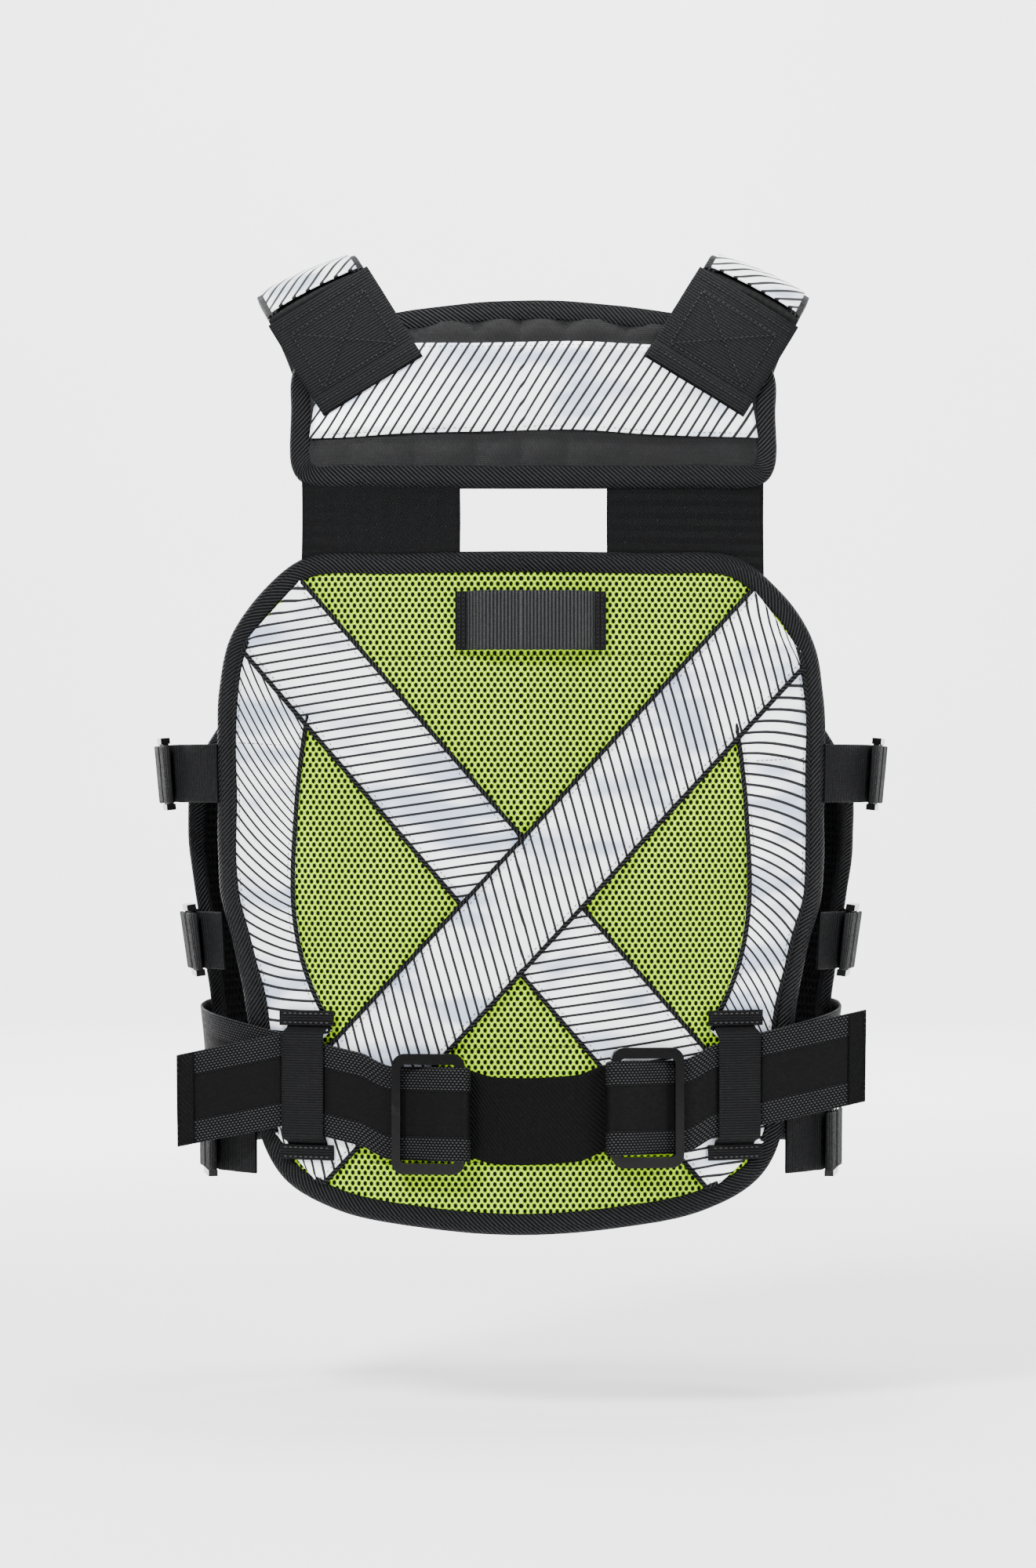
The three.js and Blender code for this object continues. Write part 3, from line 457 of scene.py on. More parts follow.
def between(name, low_edge, high_edge, rows, height, ground=skin, span=60.0):
    """A strip between two edges, each a list of (s, z), with its cloth map along its middle."""
    a, b = np.array(low_edge), np.array(high_edge)
    far = lengths_of((a + b) / 2)

    def place(u, v):
        i = nearest(u, a)
        at = a[i] + (b[i] - a[i]) * v[:, None]
        wide = np.linalg.norm(b[i] - a[i], axis=1)
        cloth = np.stack([far[i], (v - 0.5) * np.minimum(wide, span)], -1)
        return ground(at[:, 0], at[:, 1], height(u, v)), cloth

    return woven(name, len(a) - 1, rows, place)


# pitch, length and thickness of the stitches
BOX_STITCH = (3.4, 2.4, 0.8)
HEM_STITCH = (2.6, 2.0, 0.7)
SEAM_STITCH = (2.9, 2.2, 0.7)
TAPE_STITCH = (3.4, 2.1, 0.7)
HEAVY_STITCH = (3.6, 2.5, 1.0)


class Thread:
    """Rows of stitches, gathered into one piece."""

    def __init__(self):
        self.bm = bmesh.new()

    def stitch(self, a, b, normal, thick):
        middle = Vector((a + b) / 2 * MM)
        ahead = Vector(b - a).normalized()
        out = Vector(normal)
        out = (out - ahead * out.dot(ahead)).normalized()
        turn = Matrix((ahead, out.cross(ahead), out)).transposed().to_4x4()
        reach = float(np.linalg.norm(b - a)) / 2 * MM
        size = Matrix.Diagonal((reach, thick / 2 * MM, thick / 2 * MM, 1))
        place = Matrix.Translation(middle) @ turn @ size
        bmesh.ops.create_icosphere(self.bm, subdivisions=1, radius=1.0, matrix=place)

    def stitch_on(self, line, far, start, ground, height, long, thick):
        """One stitch on a ground, from a start along a line of (distance, across) points."""
        at = np.array([
            [np.interp(start + d, far, line[:, k]) for k in (0, 1)] for d in (0, long)
        ])
        points = ground(at[:, 0], at[:, 1], np.full(2, float(height)))
        above = ground(at[:1, 0], at[:1, 1], np.full(1, float(height) + 1))
        self.stitch(points[0], points[1], above[0] - points[0], thick)

    def row(self, path, ground, height, pitch, long, thick):
        """Stitches along a path of (distance, across) points on a ground."""
        line = evenly(np.array(path, float), 1.0)
        far = lengths_of(line)
        for start in np.arange(0.4, far[-1] - long, pitch):
            self.stitch_on(line, far, start, ground, height, long, thick)

    def piece(self, name, material, body, slot):
        mesh = bpy.data.meshes.new(name)
        self.bm.to_mesh(mesh)
        self.bm.free()
        finish_piece(mesh, material, body)


# ---- finishes -------------------------------------------------------------------------
class Tree:
    """Adds nodes to one node tree, taking numbers or sockets as inputs."""

    def __init__(self, tree):
        self.tree = tree

    def node(self, kind, inputs=None, **settings):
        node = self.tree.nodes.new(kind)
        for key, value in settings.items():
            setattr(node, key, value)
        for key, value in (inputs or {}).items():
            self.feed(node.inputs[key], value)
        return node

    def feed(self, socket, value):
        if isinstance(value, bpy.types.NodeSocket):
            self.tree.links.new(value, socket)
        else:
            socket.default_value = value

    def math(self, operation, *values):
        node = self.node("ShaderNodeMath", operation=operation)
        for socket, value in zip(node.inputs, values):
            self.feed(socket, value)
        return node.outputs[0]

    def range(self, value, low, high, to_low=0.0, to_high=1.0):
        node = self.node("ShaderNodeMapRange", interpolation_type="SMOOTHSTEP")
        for key, item in zip(range(5), (value, low, high, to_low, to_high)):
            self.feed(node.inputs[key], item)
        return node.outputs[0]

    def mix(self, share, a, b):
        node = self.node("ShaderNodeMix", data_type="RGBA")
        self.feed(node.inputs[0], share)
        self.feed(node.inputs[6], a)
        self.feed(node.inputs[7], b)
        return node.outputs[2]

    def noise(self, vector, scale, detail=2.0, roughness=0.5):
        inputs = {"Vector": vector, "Scale": scale, "Detail": detail, "Roughness": roughness}
        return self.node("ShaderNodeTexNoise", inputs).outputs[0]


def group(name, build, outputs, vector="Cloth", **numbers):
    """A node group that takes a vector and some numbers with these defaults."""
    tree = bpy.data.node_groups.new(name, "ShaderNodeTree")
    add = tree.interface.new_socket
    add(name=vector, in_out="INPUT", socket_type="NodeSocketVector")
    for key, value in numbers.items():
        add(name=key, in_out="INPUT", socket_type="NodeSocketFloat").default_value = value
    for key in outputs:
        add(name=key, in_out="OUTPUT", socket_type="NodeSocketFloat")
    t = Tree(tree)
    source = t.node("NodeGroupInput")
    results = build(t, source.outputs)
    sink = t.node("NodeGroupOutput")
    for key, value in results.items():
        t.feed(sink.inputs[key], value)
    return tree


def split(t, vector):
    """A vector's first two numbers."""
    node = t.node("ShaderNodeSeparateXYZ", {0: vector})
    return node.outputs[0], node.outputs[1]


def build_ribs(t, source):
    """Beaded ribs along a band."""
    far, across = split(t, source["Cloth"])
    rib = t.math("ABSOLUTE", t.math("SINE", t.math("DIVIDE", across, source["Rib"])))
    pick = t.math("SINE", t.math("DIVIDE", far, source["Pick"]))
    row = t.math("FLOOR", t.math("DIVIDE", across, t.math("MULTIPLY", source["Rib"], math.pi)))
    shifted = t.math("ADD", t.math("DIVIDE", far, source["Pick"]), t.math("MULTIPLY", row, 1.57))
    bead = t.math("MULTIPLY_ADD", t.math("SINE", shifted), 0.22, 0.78)
    height = t.math("MULTIPLY", t.math("POWER", rib, 0.6), bead)
    return {"Height": t.math("MULTIPLY_ADD", pick, 0.05, height)}


def build_twill(t, source):
    """Leaning ridges crossed by a finer thread."""
    far, across = split(t, source["Cloth"])
    lean = t.math("ADD", far, t.math("MULTIPLY", across, source["Lean"]))
    wave = t.math("SINE", t.math("DIVIDE", lean, source["Pitch"]))
    thread = t.math("SINE", t.math("DIVIDE", t.math("SUBTRACT", across, far), source["Fine"]))
    ridge = t.math("POWER", t.math("MULTIPLY_ADD", wave, 0.5, 0.5), 1.8)
    return {"Height": t.math("MULTIPLY_ADD", thread, 0.12, ridge)}


def build_holes(t, source):
    """Rows of oval holes, each row half a step from the next, and the knit round them."""
    x, y = split(t, source["Cloth"])
    row = t.math("DIVIDE", y, source["Down"])
    odd = t.math("MULTIPLY", t.math("MODULO", t.math("ABSOLUTE", t.math("FLOOR", row)), 2.0), 0.5)
    column = t.math("ADD", t.math("DIVIDE", x, source["Across"]), odd)
    cx = t.math("SUBTRACT", t.math("FRACT", column), 0.5)
    cy = t.math("SUBTRACT", t.math("FRACT", row), 0.5)
    wide = t.math("DIVIDE", cx, source["Width"])
    tall = t.math("DIVIDE", cy, source["Height"])
    far = t.math("SQRT", t.math("ADD", t.math("POWER", wide, 2.0), t.math("POWER", tall, 2.0)))
    hole = t.range(far, 0.85, 1.1, 1.0, 0.0)
    knit = t.range(far, 1.0, 1.9)
    return {"Hole": hole, "Knit": knit}


def build_wear(t, source):
    """Broad shading, fine grain and specks of lint."""
    cloud = t.noise(source["Place"], 9.0, 3.0, 0.55)
    fine = t.noise(source["Place"], 420.0, 2.0, 0.6)
    lint = t.range(t.noise(source["Place"], 1500.0, 1.0), 0.68, 0.78)
    shade = t.math("MULTIPLY_ADD", cloud, 0.5, 0.75)
    return {"Shade": shade, "Fine": fine, "Lint": lint}


def build_lines(t, source):
    """Thin lines that lean across a tape and waver a little."""
    far, across = split(t, source["Cloth"])
    lean = t.math("SUBTRACT", t.math("MULTIPLY", far, source["Sine"]),
                  t.math("MULTIPLY", across, source["Cosine"]))
    bend = t.math("MULTIPLY_ADD", t.noise(source["Cloth"], 9.0, 1.0), 0.0022, lean)
    place = t.math("FRACT", t.math("DIVIDE", bend, source["Pitch"]))
    middle = t.math("ABSOLUTE", t.math("SUBTRACT", place, 0.5))
    line = t.range(middle, source["Half"], t.math("ADD", source["Half"], 0.035), 1.0, 0.0)
    return {"Line": line}


RIBS = group("webbing ribs", build_ribs, ["Height"], Rib=0.0005, Pick=0.0004)
TWILL = group("twill", build_twill, ["Height"], Lean=1.0, Pitch=0.0004, Fine=0.0001)
HOLES = group("mesh holes", build_holes, ["Hole", "Knit"], Across=0.0042, Down=0.0034,
              Width=0.18, Height=0.36)
WEAR = group("cloth wear", build_wear, ["Shade", "Fine", "Lint"], "Place")
LINES = group("tape lines", build_lines, ["Line"], Sine=0.85, Cosine=0.53, Pitch=0.0062,
              Half=0.115)


class Finish:
    """A material under way: its tree, its shader and the maps that patterns follow."""

    def __init__(self, name):
        self.material = bpy.data.materials.new(name)
        self.material.use_nodes = True
        tree = self.material.node_tree
        tree.nodes.clear()
        self.t = Tree(tree)
        self.shader = self.t.node("ShaderNodeBsdfPrincipled")
        end = self.t.node("ShaderNodeOutputMaterial")
        tree.links.new(self.shader.outputs[0], end.inputs[0])
        self.cloth = self.t.node("ShaderNodeUVMap", uv_map="cloth").outputs[0]
        self.place = self.t.node("ShaderNodeTexCoord").outputs["Object"]

    def use(self, tree, **inputs):
        node = self.t.node("ShaderNodeGroup", node_tree=tree)
        for key, value in inputs.items():
            self.t.feed(node.inputs[key], value)
        return node.outputs

    def set(self, **values):
        for key, value in values.items():
            self.t.feed(self.shader.inputs[key.replace("_", " ")], value)
        return self

    def bump(self, height, distance, strength=1.0):
        node = self.t.node("ShaderNodeBump", {"Height": height, "Distance": distance,
                                              "Strength": strength})
        self.t.feed(self.shader.inputs["Normal"], node.outputs[0])
        return self


def grey(value, tint=0.0):
    return (value, value * (1 + tint * 0.3), value * (1 + tint), 1)


def darker(colour, share):
    return tuple(c * share for c in colour[:3]) + (1,)


def begin(name):
    """A finish under way, its tree and its wear."""
    finish = Finish(name)
    return finish, finish.t, finish.use(WEAR, Place=finish.place)


def black_cloth(name, height, distance, dark=0.0003, light=0.004, rough=0.6, shine=0.06):
    """Black woven cloth, whose raised threads catch more light than the gaps."""
    finish, t, wear = begin(name)
    weave = height(finish)
    base = t.mix(weave, grey(dark, 0.1), grey(light, 0.12))
    shaded = t.node("ShaderNodeVectorMath", {0: base}, operation="SCALE")
    t.feed(shaded.inputs["Scale"], wear["Shade"])
    colour = t.mix(t.math("MULTIPLY", wear["Lint"], 0.05), shaded.outputs[0], grey(0.12))
    worn = t.range(wear["Fine"], 0.2, 0.8, rough - 0.1, rough + 0.1)
    finish.set(Base_Color=colour, Roughness=worn, Specular_IOR_Level=shine)
    relief = t.math("MULTIPLY_ADD", wear["Fine"], 0.15, weave)
    return finish.bump(relief, distance).material


def ribbed(rib, pick):
    return lambda f: f.use(RIBS, Cloth=f.cloth, Rib=rib, Pick=pick)["Height"]


def cross_ribbed(pitch, fine=0.00035):
    """Raised ribs that run across a strap, as heavy webbing has."""

    def height(f):
        t = f.t
        far, across = split(t, f.cloth)
        rib = t.math("ABSOLUTE", t.math("SINE", t.math("DIVIDE", far, pitch / math.pi)))
        thread = t.math("ABSOLUTE", t.math("SINE", t.math("DIVIDE", across, fine)))
        strand = t.math("MULTIPLY_ADD", thread, 0.3, 0.7)
        return t.math("MULTIPLY", t.math("POWER", rib, 0.7), strand)

    return height


def twilled(pitch, lean=1.0, fine=0.00012):
    return lambda f: f.use(TWILL, Cloth=f.cloth, Pitch=pitch, Lean=lean, Fine=fine)["Height"]


def herringbone(f):
    """Twill whose lean turns over every few millimetres across the band."""
    t = f.t
    far, across = split(t, f.cloth)
    folded = t.math("PINGPONG", across, 0.004)
    joined = t.node("ShaderNodeCombineXYZ", {0: far, 1: folded}).outputs[0]
    return f.use(TWILL, Cloth=joined, Pitch=0.00022, Lean=1.0, Fine=0.0004)["Height"]


def belt_weave(f):
    """Pebbled borders beside a smooth hook strip down the belt's middle."""
    t = f.t
    across = split(t, f.cloth)[1]
    beads = f.use(HOLES, Cloth=f.cloth, Across=0.0024, Down=0.0017, Width=0.34, Height=0.32)
    hooks = f.use(RIBS, Cloth=f.cloth, Rib=0.0003, Pick=0.0003)["Height"]
    away = t.math("ABSOLUTE", across)
    border = t.range(away, 0.0138, 0.0146)
    groove = t.range(t.math("ABSOLUTE", t.math("SUBTRACT", away, 0.0142)), 0.0, 0.0009)
    plain = t.math("MULTIPLY_ADD", hooks, 0.05, 0.02)
    weave = t.math("ADD", t.math("MULTIPLY", beads["Hole"], border),
                   t.math("MULTIPLY", plain, t.math("SUBTRACT", 1.0, border)))
    return t.math("MULTIPLY", weave, groove)


def mesh_cloth(name, bright, dark, across=0.0042, down=0.0034, rough=0.6, hole=(0.18, 0.36)):
    finish, t, wear = begin(name)
    weave = finish.use(HOLES, Cloth=finish.cloth, Across=across, Down=down,
                       Width=hole[0], Height=hole[1])
    broad = t.range(t.noise(finish.place, 16.0, 2.0), 0.35, 0.7)
    tone = t.mix(broad, darker(bright, 0.8), bright)
    # Painted shade: the knit is painted darker towards each hole's rim, where it dips into the
    # hole.
    knit = t.mix(t.math("MULTIPLY", weave["Knit"], wear["Shade"]), darker(bright, 0.34), tone)
    # The holes are painted near black: partly the dark layers seen through them, partly painted
    # shade inside them.
    colour = t.mix(weave["Hole"], knit, dark)
    worn = t.range(wear["Fine"], 0.2, 0.8, rough - 0.08, rough + 0.1)
    finish.set(Base_Color=colour, Roughness=worn, Specular_IOR_Level=0.05)
    relief = t.math("SUBTRACT", t.math("MULTIPLY_ADD", wear["Fine"], 0.15, weave["Knit"]),
                    weave["Hole"])
    return finish.bump(relief, 0.0005, 0.9).material


def reflective(name, **pattern):
    """Silver tape with dark lines, and painted shade and reflection in clouds over it."""
    finish, t, wear = begin(name)
    line = finish.use(LINES, Cloth=finish.cloth, **pattern)["Line"]
    stretched = t.node("ShaderNodeMapping", {"Vector": finish.place, "Scale": (1.0, 1.0, 2.6)})
    # Painted shade and reflection: stretched clouds from bluish grey to near white, which do not
    # follow the tape's folds.
    cloud = t.range(t.noise(stretched.outputs[0], 17.0, 2.0, 0.5), 0.34, 0.56)
    silver = t.mix(cloud, (0.40, 0.47, 0.60, 1), (0.93, 0.94, 0.95, 1))
    speck = t.math("MULTIPLY", wear["Lint"], 0.25)
    silver = t.mix(speck, silver, grey(0.35))
    colour = t.mix(line, silver, grey(0.006, 0.2))
    rough = t.range(wear["Fine"], 0.3, 0.7, 0.38, 0.5)
    finish.set(Base_Color=colour, Roughness=t.range(line, 0.0, 1.0, rough, 0.7),
               Metallic=t.range(line, 0.0, 1.0, 0.2, 0.0),
               Specular_IOR_Level=0.2)
    beads = t.noise(finish.place, 2600.0, 1.0)
    relief = t.math("SUBTRACT", t.math("MULTIPLY", beads, 0.12), line)
    return finish.bump(relief, 0.00025, 0.6).material


def moulded_nylon(name, base=0.0008, rough=0.24):
    finish, t, wear = begin(name)
    scuff = t.range(t.noise(finish.place, 55.0, 6.0, 0.7), 0.56, 0.72)
    colour = t.mix(t.math("MULTIPLY", scuff, 0.5), grey(base, 0.1), grey(base * 3.2, 0.1))
    spark = t.noise(finish.place, 1900.0, 2.0)
    finish.set(Base_Color=colour, Roughness=t.range(scuff, 0.0, 1.0, rough, rough + 0.2),
               Specular_IOR_Level=0.22)
    relief = t.math("MULTIPLY_ADD", wear["Fine"], 0.5, spark)
    return finish.bump(relief, 0.00004, 0.35).material


def thread(name, colour):
    finish, t, wear = begin(name)
    ply = t.noise(finish.place, 3200.0, 1.0)
    shade = t.mix(ply, darker(colour, 0.6), colour)
    finish.set(Base_Color=shade, Roughness=t.range(wear["Fine"], 0.2, 0.8, 0.4, 0.6),
               Specular_IOR_Level=0.3)
    return finish.bump(ply, 0.0001).material


LIME = (0.52, 0.98, 0.0, 1)
lime_mesh = mesh_cloth("lime holed mesh", LIME, (0.0005, 0.001, 0.0002, 1), hole=(0.28, 0.45))
spacer_lining = mesh_cloth("black spacer lining", grey(0.006, 0.1), grey(0.0005), 0.006, 0.0052,
                           0.6, (0.26, 0.30))
binding_twill = black_cloth("black twill binding", twilled(0.0005, 1.1, 0.0002), 0.0022, 0.0001,
                            0.034, 0.5)
plain_webbing = black_cloth("black ribbed webbing", cross_ribbed(0.0017), 0.0009, 0.0001, 0.008)
handle_webbing = black_cloth("black heavy-ribbed webbing", cross_ribbed(0.0023), 0.0014, 0.0001,
                             0.024, 0.4, 0.15)
patch_webbing = black_cloth("black shoulder webbing", cross_ribbed(0.0019, 0.0005), 0.0010,
                            0.0002, 0.010)
belt_webbing = black_cloth("black belt webbing", belt_weave, 0.0010, 0.0001, 0.026)
belt_plain = black_cloth("black twill belt band", twilled(0.00045, 0.8, 0.0003), 0.0003,
                         light=0.0015)
elastic_weave = black_cloth("black herringbone elastic", herringbone, 0.0005, light=0.008)
pad_cloth = black_cloth("black pad cloth", ribbed(0.0004, 0.0004), 0.0002, light=0.006,
                        shine=0.14)
silver_tape = reflective("silver reflective tape")
shoulder_silver = reflective("silver shoulder tape", Sine=0.5, Cosine=0.86, Pitch=0.0085,
                             Half=0.14)
nylon = moulded_nylon("black moulded nylon")
nylon_shiny = moulded_nylon("black polished nylon", 0.0006, 0.15)
black_thread = thread("black thread", grey(0.004))
grey_thread = thread("grey thread", grey(0.03))

seams = {
    ("vest", "black"): Thread(),
    ("vest", "grey"): Thread(),
    ("yoke", "black"): Thread(),
}


# ---- yoke -----------------------------------------------------------------------------
YOKE_SHIFT = 8
YOKE_TOP = -17
YOKE_BOTTOM = -141
YOKE_HALF = 157
BINDING = 14
YOKE_HALF_OUTLINE = [
    (0, YOKE_TOP),
    (60, YOKE_TOP - 4),
    (110, YOKE_TOP - 13),
    (YOKE_HALF - 9, YOKE_TOP - 32),
    (YOKE_HALF, YOKE_TOP - 50),
    (YOKE_HALF, (YOKE_TOP + YOKE_BOTTOM) / 2 - 10),
    (YOKE_HALF - 1, YOKE_BOTTOM + 14),
    (YOKE_HALF - 9, YOKE_BOTTOM + 4),
    (100, YOKE_BOTTOM + 1),
    (0, YOKE_BOTTOM),
]
YOKE_SEAMS = (-46, -108)
YOKE_PLEATS = (-33, -121)
YOKE_TAPE = (-106, -48)
yoke_loop = outline(YOKE_HALF_OUTLINE, YOKE_SHIFT)


def hummocks(x, z, wide, seed):
    """Soft uneven swells in cloth, from -1 to 1."""
    return (
        np.sin(x / wide + seed) * np.sin(z / (wide * 0.8) + seed * 1.7)
        + 0.6 * np.sin(x / (wide * 0.43) - z / (wide * 0.9) + seed * 2.3)
        + 0.4 * np.sin(z / (wide * 0.31) + x / (wide * 1.7) + seed)
    ) / 2


def piping(name, edge, side, body, ground=skin, height=2.2, width=3.2):
    """A narrow black edging sewn along a tape's edge, given as (s, z) points."""
    line = np.array(edge, float)
    out = square_to(np.gradient(line, axis=0)) * side
    far = lengths_of(line)
    profile = edge_profile(width, 1.7, 3)
    heights = heights_of(height)

    def place(u, v):
        i = nearest(u, line)
        j = nearest(v, profile)
        at = line[i] - out[i] * (width / 2 - 0.4) + out[i] * profile[j, :1]
        points = ground(at[:, 0], at[:, 1], heights(u) + profile[j, 1])
        return points, np.stack([far[i], profile[j, 0]], -1)

    mesh = woven(name, len(line) - 1, len(profile) - 1, place, seams=True, closed_ends=True)
    finish_piece(mesh, binding_twill, body)


TAPE_HALF = 30


def tape(name, low, high, body, node, height=1.9, rows=10, edged=True, seam_inset=5.0,
         ground=skin, material=silver_tape):
    """Reflective tape between two edges of (s, z) points, its top at a height or height(u)."""
    low, high = np.array(low, float), np.array(high, float)
    heights = heights_of(height)
    seed = len(name)

    def top(u, v):
        swell = 0.35 * np.sin(u * 31 + seed) * np.sin(v * 5 + seed)
        dip = 0.5 * bell(np.minimum(v, 1 - v) * 2 * TAPE_HALF, seam_inset, 1.2)
        return heights(u) + swell - dip

    mesh = between(name, low, high, rows, top, ground)
    thicken(finish_piece(mesh, material, body, [node]), 1.1)
    if edged:
        lift = lambda u: heights(u) + 0.25
        piping(f"{name}_edging_low", low, -1, body, ground, lift)
        piping(f"{name}_edging_high", high, 1, body, ground, lift)
    wide = np.linalg.norm(high - low, axis=1, keepdims=True)
    inward = (high - low) / wide
    shares = np.linspace(0, 1, len(low))
    pitch, long, thick = TAPE_STITCH
    for line in (low + inward * seam_inset, high - inward * seam_inset):
        far = lengths_of(line)
        for start in np.arange(1.0, far[-1] - 3, pitch):
            above = float(heights(np.array([np.interp(start, far, shares)]))[0]) - 0.15
            seams[(body, "black")].stitch_on(line, far, start, ground, above, long, thick)


def make_yoke():
    def crown(x, z):
        edge_x = np.clip((YOKE_HALF - np.abs(x - YOKE_SHIFT)) / 26, 0, 1)
        high = np.clip((YOKE_TOP - 8 - z) / 20, 0, 1) * np.clip((z - YOKE_BOTTOM - 6) / 20, 0, 1)
        sewn = sum(bell(z, level, 5) for level in YOKE_SEAMS)
        hem = sum(bell(z, level, 9) for level in YOKE_PLEATS)
        pleat = np.abs(np.sin(x / 11.5 + 0.7 * np.sin(x / 27))) ** 0.6 - 0.6
        body = 0.2 + 1.8 * smooth(edge_x) * smooth(high) - 1.2 * sewn
        return body + 2.6 * pleat * hem * smooth(edge_x) + 0.4 * hummocks(x, z, 21, 1)

    mesh = filled("yoke_pad", inset(yoke_loop, BINDING - 3), 150, 64, crown)
    pad = finish_piece(mesh, pad_cloth, "yoke", ["yoke_panel"])
    thicken(pad, 7)
    edge = border("yoke_edge_binding", yoke_loop, BINDING, -8, 1.9)
    finish_piece(edge, binding_twill, "yoke", ["yoke_binding"])
    reach = YOKE_HALF - BINDING
    field = inset(yoke_loop, BINDING + 0.5)

    def tape_edge(z, slope):
        points = []
        for x in np.linspace(-reach, reach, 97):
            wave = slope * math.cos(x / reach * math.pi) + 0.5 * math.sin(x / 17)
            at = kept_inside(field, x + YOKE_SHIFT, z + wave)
            points.append((float(round_back(*at)), at[1]))
        return points

    low, high = tape_edge(YOKE_TAPE[0], 2), tape_edge(YOKE_TAPE[1], 1)
    tape("yoke_stripe", low, high, "yoke", "yoke_tape", 3.2, edged=False, seam_inset=2.2)


make_yoke()

# ---- shoulders ------------------------------------------------------------------------
SHOULDER_WIDTH = 74
SHOULDER_FOOT = np.array([102.0, -76.0])
SHOULDER_TOP = np.array([139.0, -15.0])
PAD_START = {-1: 1.068, 1: 1.086}
PATCH_LIFT = 2.5


def shoulder_corner(side, share, across):
    d = SHOULDER_TOP - SHOULDER_FOOT
    size = np.linalg.norm(d)
    reach = across * SHOULDER_WIDTH / 2
    x = SHOULDER_FOOT[0] + d[0] * share + d[1] / size * reach
    z = SHOULDER_FOOT[1] + d[1] * share - d[0] / size * reach
    return round_back(side * x + YOKE_SHIFT, z), z


def patch_ground(side):
    """Ground of the shoulder webbing: distance up from its foot, across, height."""
    long = np.linalg.norm(SHOULDER_TOP - SHOULDER_FOOT)

    def ground(far, across, height):
        s, z = shoulder_corner(side, far / long, side * across * 2 / SHOULDER_WIDTH)
        return skin(s, z, height)

    return ground, long


def shoulder_line(side):
    s, z = shoulder_corner(side, PAD_START[side], 0.0)
    start = skin(s, z, PATCH_LIFT - 1)
    rest = [(149, -46, 3), (151, -2, 7), (144, 38, -6), (131, 71, -38), (118, 95, -84)]
    return np.array([start] + [(side * x + YOKE_SHIFT, y, z) for x, y, z in rest])


def saddle_ground(side):
    """Ground of a shoulder pad: distance along it, across, height above its top."""
    line = through(shoulder_line(side), 1.0)
    far = lengths_of(line)
    shares = far / far[-1]
    forward = unit(np.gradient(line, axis=0))
    tilt = 0.5 - 0.25 * shares
    across = np.stack([np.full(len(line), float(side)), side * forward[:, 0] * 0.3, -tilt], -1)
    across = unit(across - forward * (across * forward).sum(1, keepdims=True))
    normal = np.cross(across, forward) * side
    flip = (normal[:, 2] < 0) & (shares < 0.6)
    normal[flip] *= -1

    def ground(distance, reach, height):
        i = np.interp(distance, far, np.arange(len(line)))
        k = np.clip(np.rint(i).astype(int), 0, len(line) - 1)
        middle = np.stack([np.interp(i, np.arange(len(line)), line[:, c]) for c in range(3)], -1)
        sag = -2.5 * (2 * reach / SHOULDER_WIDTH) ** 2
        rise = (height + sag)[..., None]
        return middle + across[k] * (side * reach)[..., None] + normal[k] * rise

    return ground, far[-1]


def crossed_box(sew, ground, x0, x1, y0, y1, height):
    """A sewn box with a cross in it, in (distance, across) on a ground."""
    corners = [(x0, y0), (x1, y0), (x1, y1), (x0, y1)]
    lines = list(zip(corners, corners[1:] + corners[:1]))
    lines += [(corners[0], corners[2]), (corners[3], corners[1])]
    for a, b in lines:
        sew.row([a, b], ground, height, *BOX_STITCH)


def make_shoulders():
    sew = seams[("yoke", "black")]
    for name, side in SIDES:
        ground, long = patch_ground(side)
        path = [(0.6, PATCH_LIFT + 0.8), (long / 2, PATCH_LIFT + 1.6)]
        path += [(long - 0.5, PATCH_LIFT + 0.9)]
        strap(f"shoulder_webbing_patch_{name}", path, SHOULDER_WIDTH, ground, patch_webbing,
              "yoke", [f"shoulder_webbing_{name}"], thick=1.9, step=2.0, ripple=0.4, flat=18)
        top = PATCH_LIFT + 2.5
        hem = [(1, top), (7, top + 0.4), (12, top)]
        strap(f"shoulder_webbing_hem_{name}", hem, SHOULDER_WIDTH - 1, ground, patch_webbing,
              "yoke", thick=1.5, step=1.5, flat=18)
        crossed_box(sew, ground, 16, long - 14, -27, 27, top + 0.3)
        sew.row([(8, -34), (8, 34)], ground, top + 1.1, *BOX_STITCH)
        sew.row([(long - 7, -34), (long - 7, 34)], ground, top - 0.1, *BOX_STITCH)

        over, reach = saddle_ground(side)
        path = [(0.5, -4.2), (reach * 0.3, -3.7), (reach * 0.7, -3.7), (reach - 0.5, -4.2)]
        mesh = ribbon(f"shoulder_pad_body_{name}", path, SHOULDER_WIDTH - 2, over, 7.6, 3.0, 0.4,
                      14)
        pad = finish_piece(mesh, pad_cloth, "yoke", [f"shoulder_pad_{name}"])
        stops = np.linspace(0.5, reach - 0.5, 60)
        for edge in (-1, 1):
            line = [(d, edge * (SHOULDER_WIDTH / 2 - 2)) for d in stops]
            place = "outer" if edge * side > 0 else "inner"
            piping(f"shoulder_pad_rim_{name}_{place}", line, edge, "yoke", over, 0.2, 9)
        half = (SHOULDER_WIDTH - 12) / 2
        low = [(d, -half) for d in stops]
        high = [(d, half) for d in stops]
        tape(f"shoulder_stripe_{name}", low, high, "yoke", f"shoulder_tape_{name}", 1.9, 10, False,
             2.5, over, shoulder_silver)


make_shoulders()

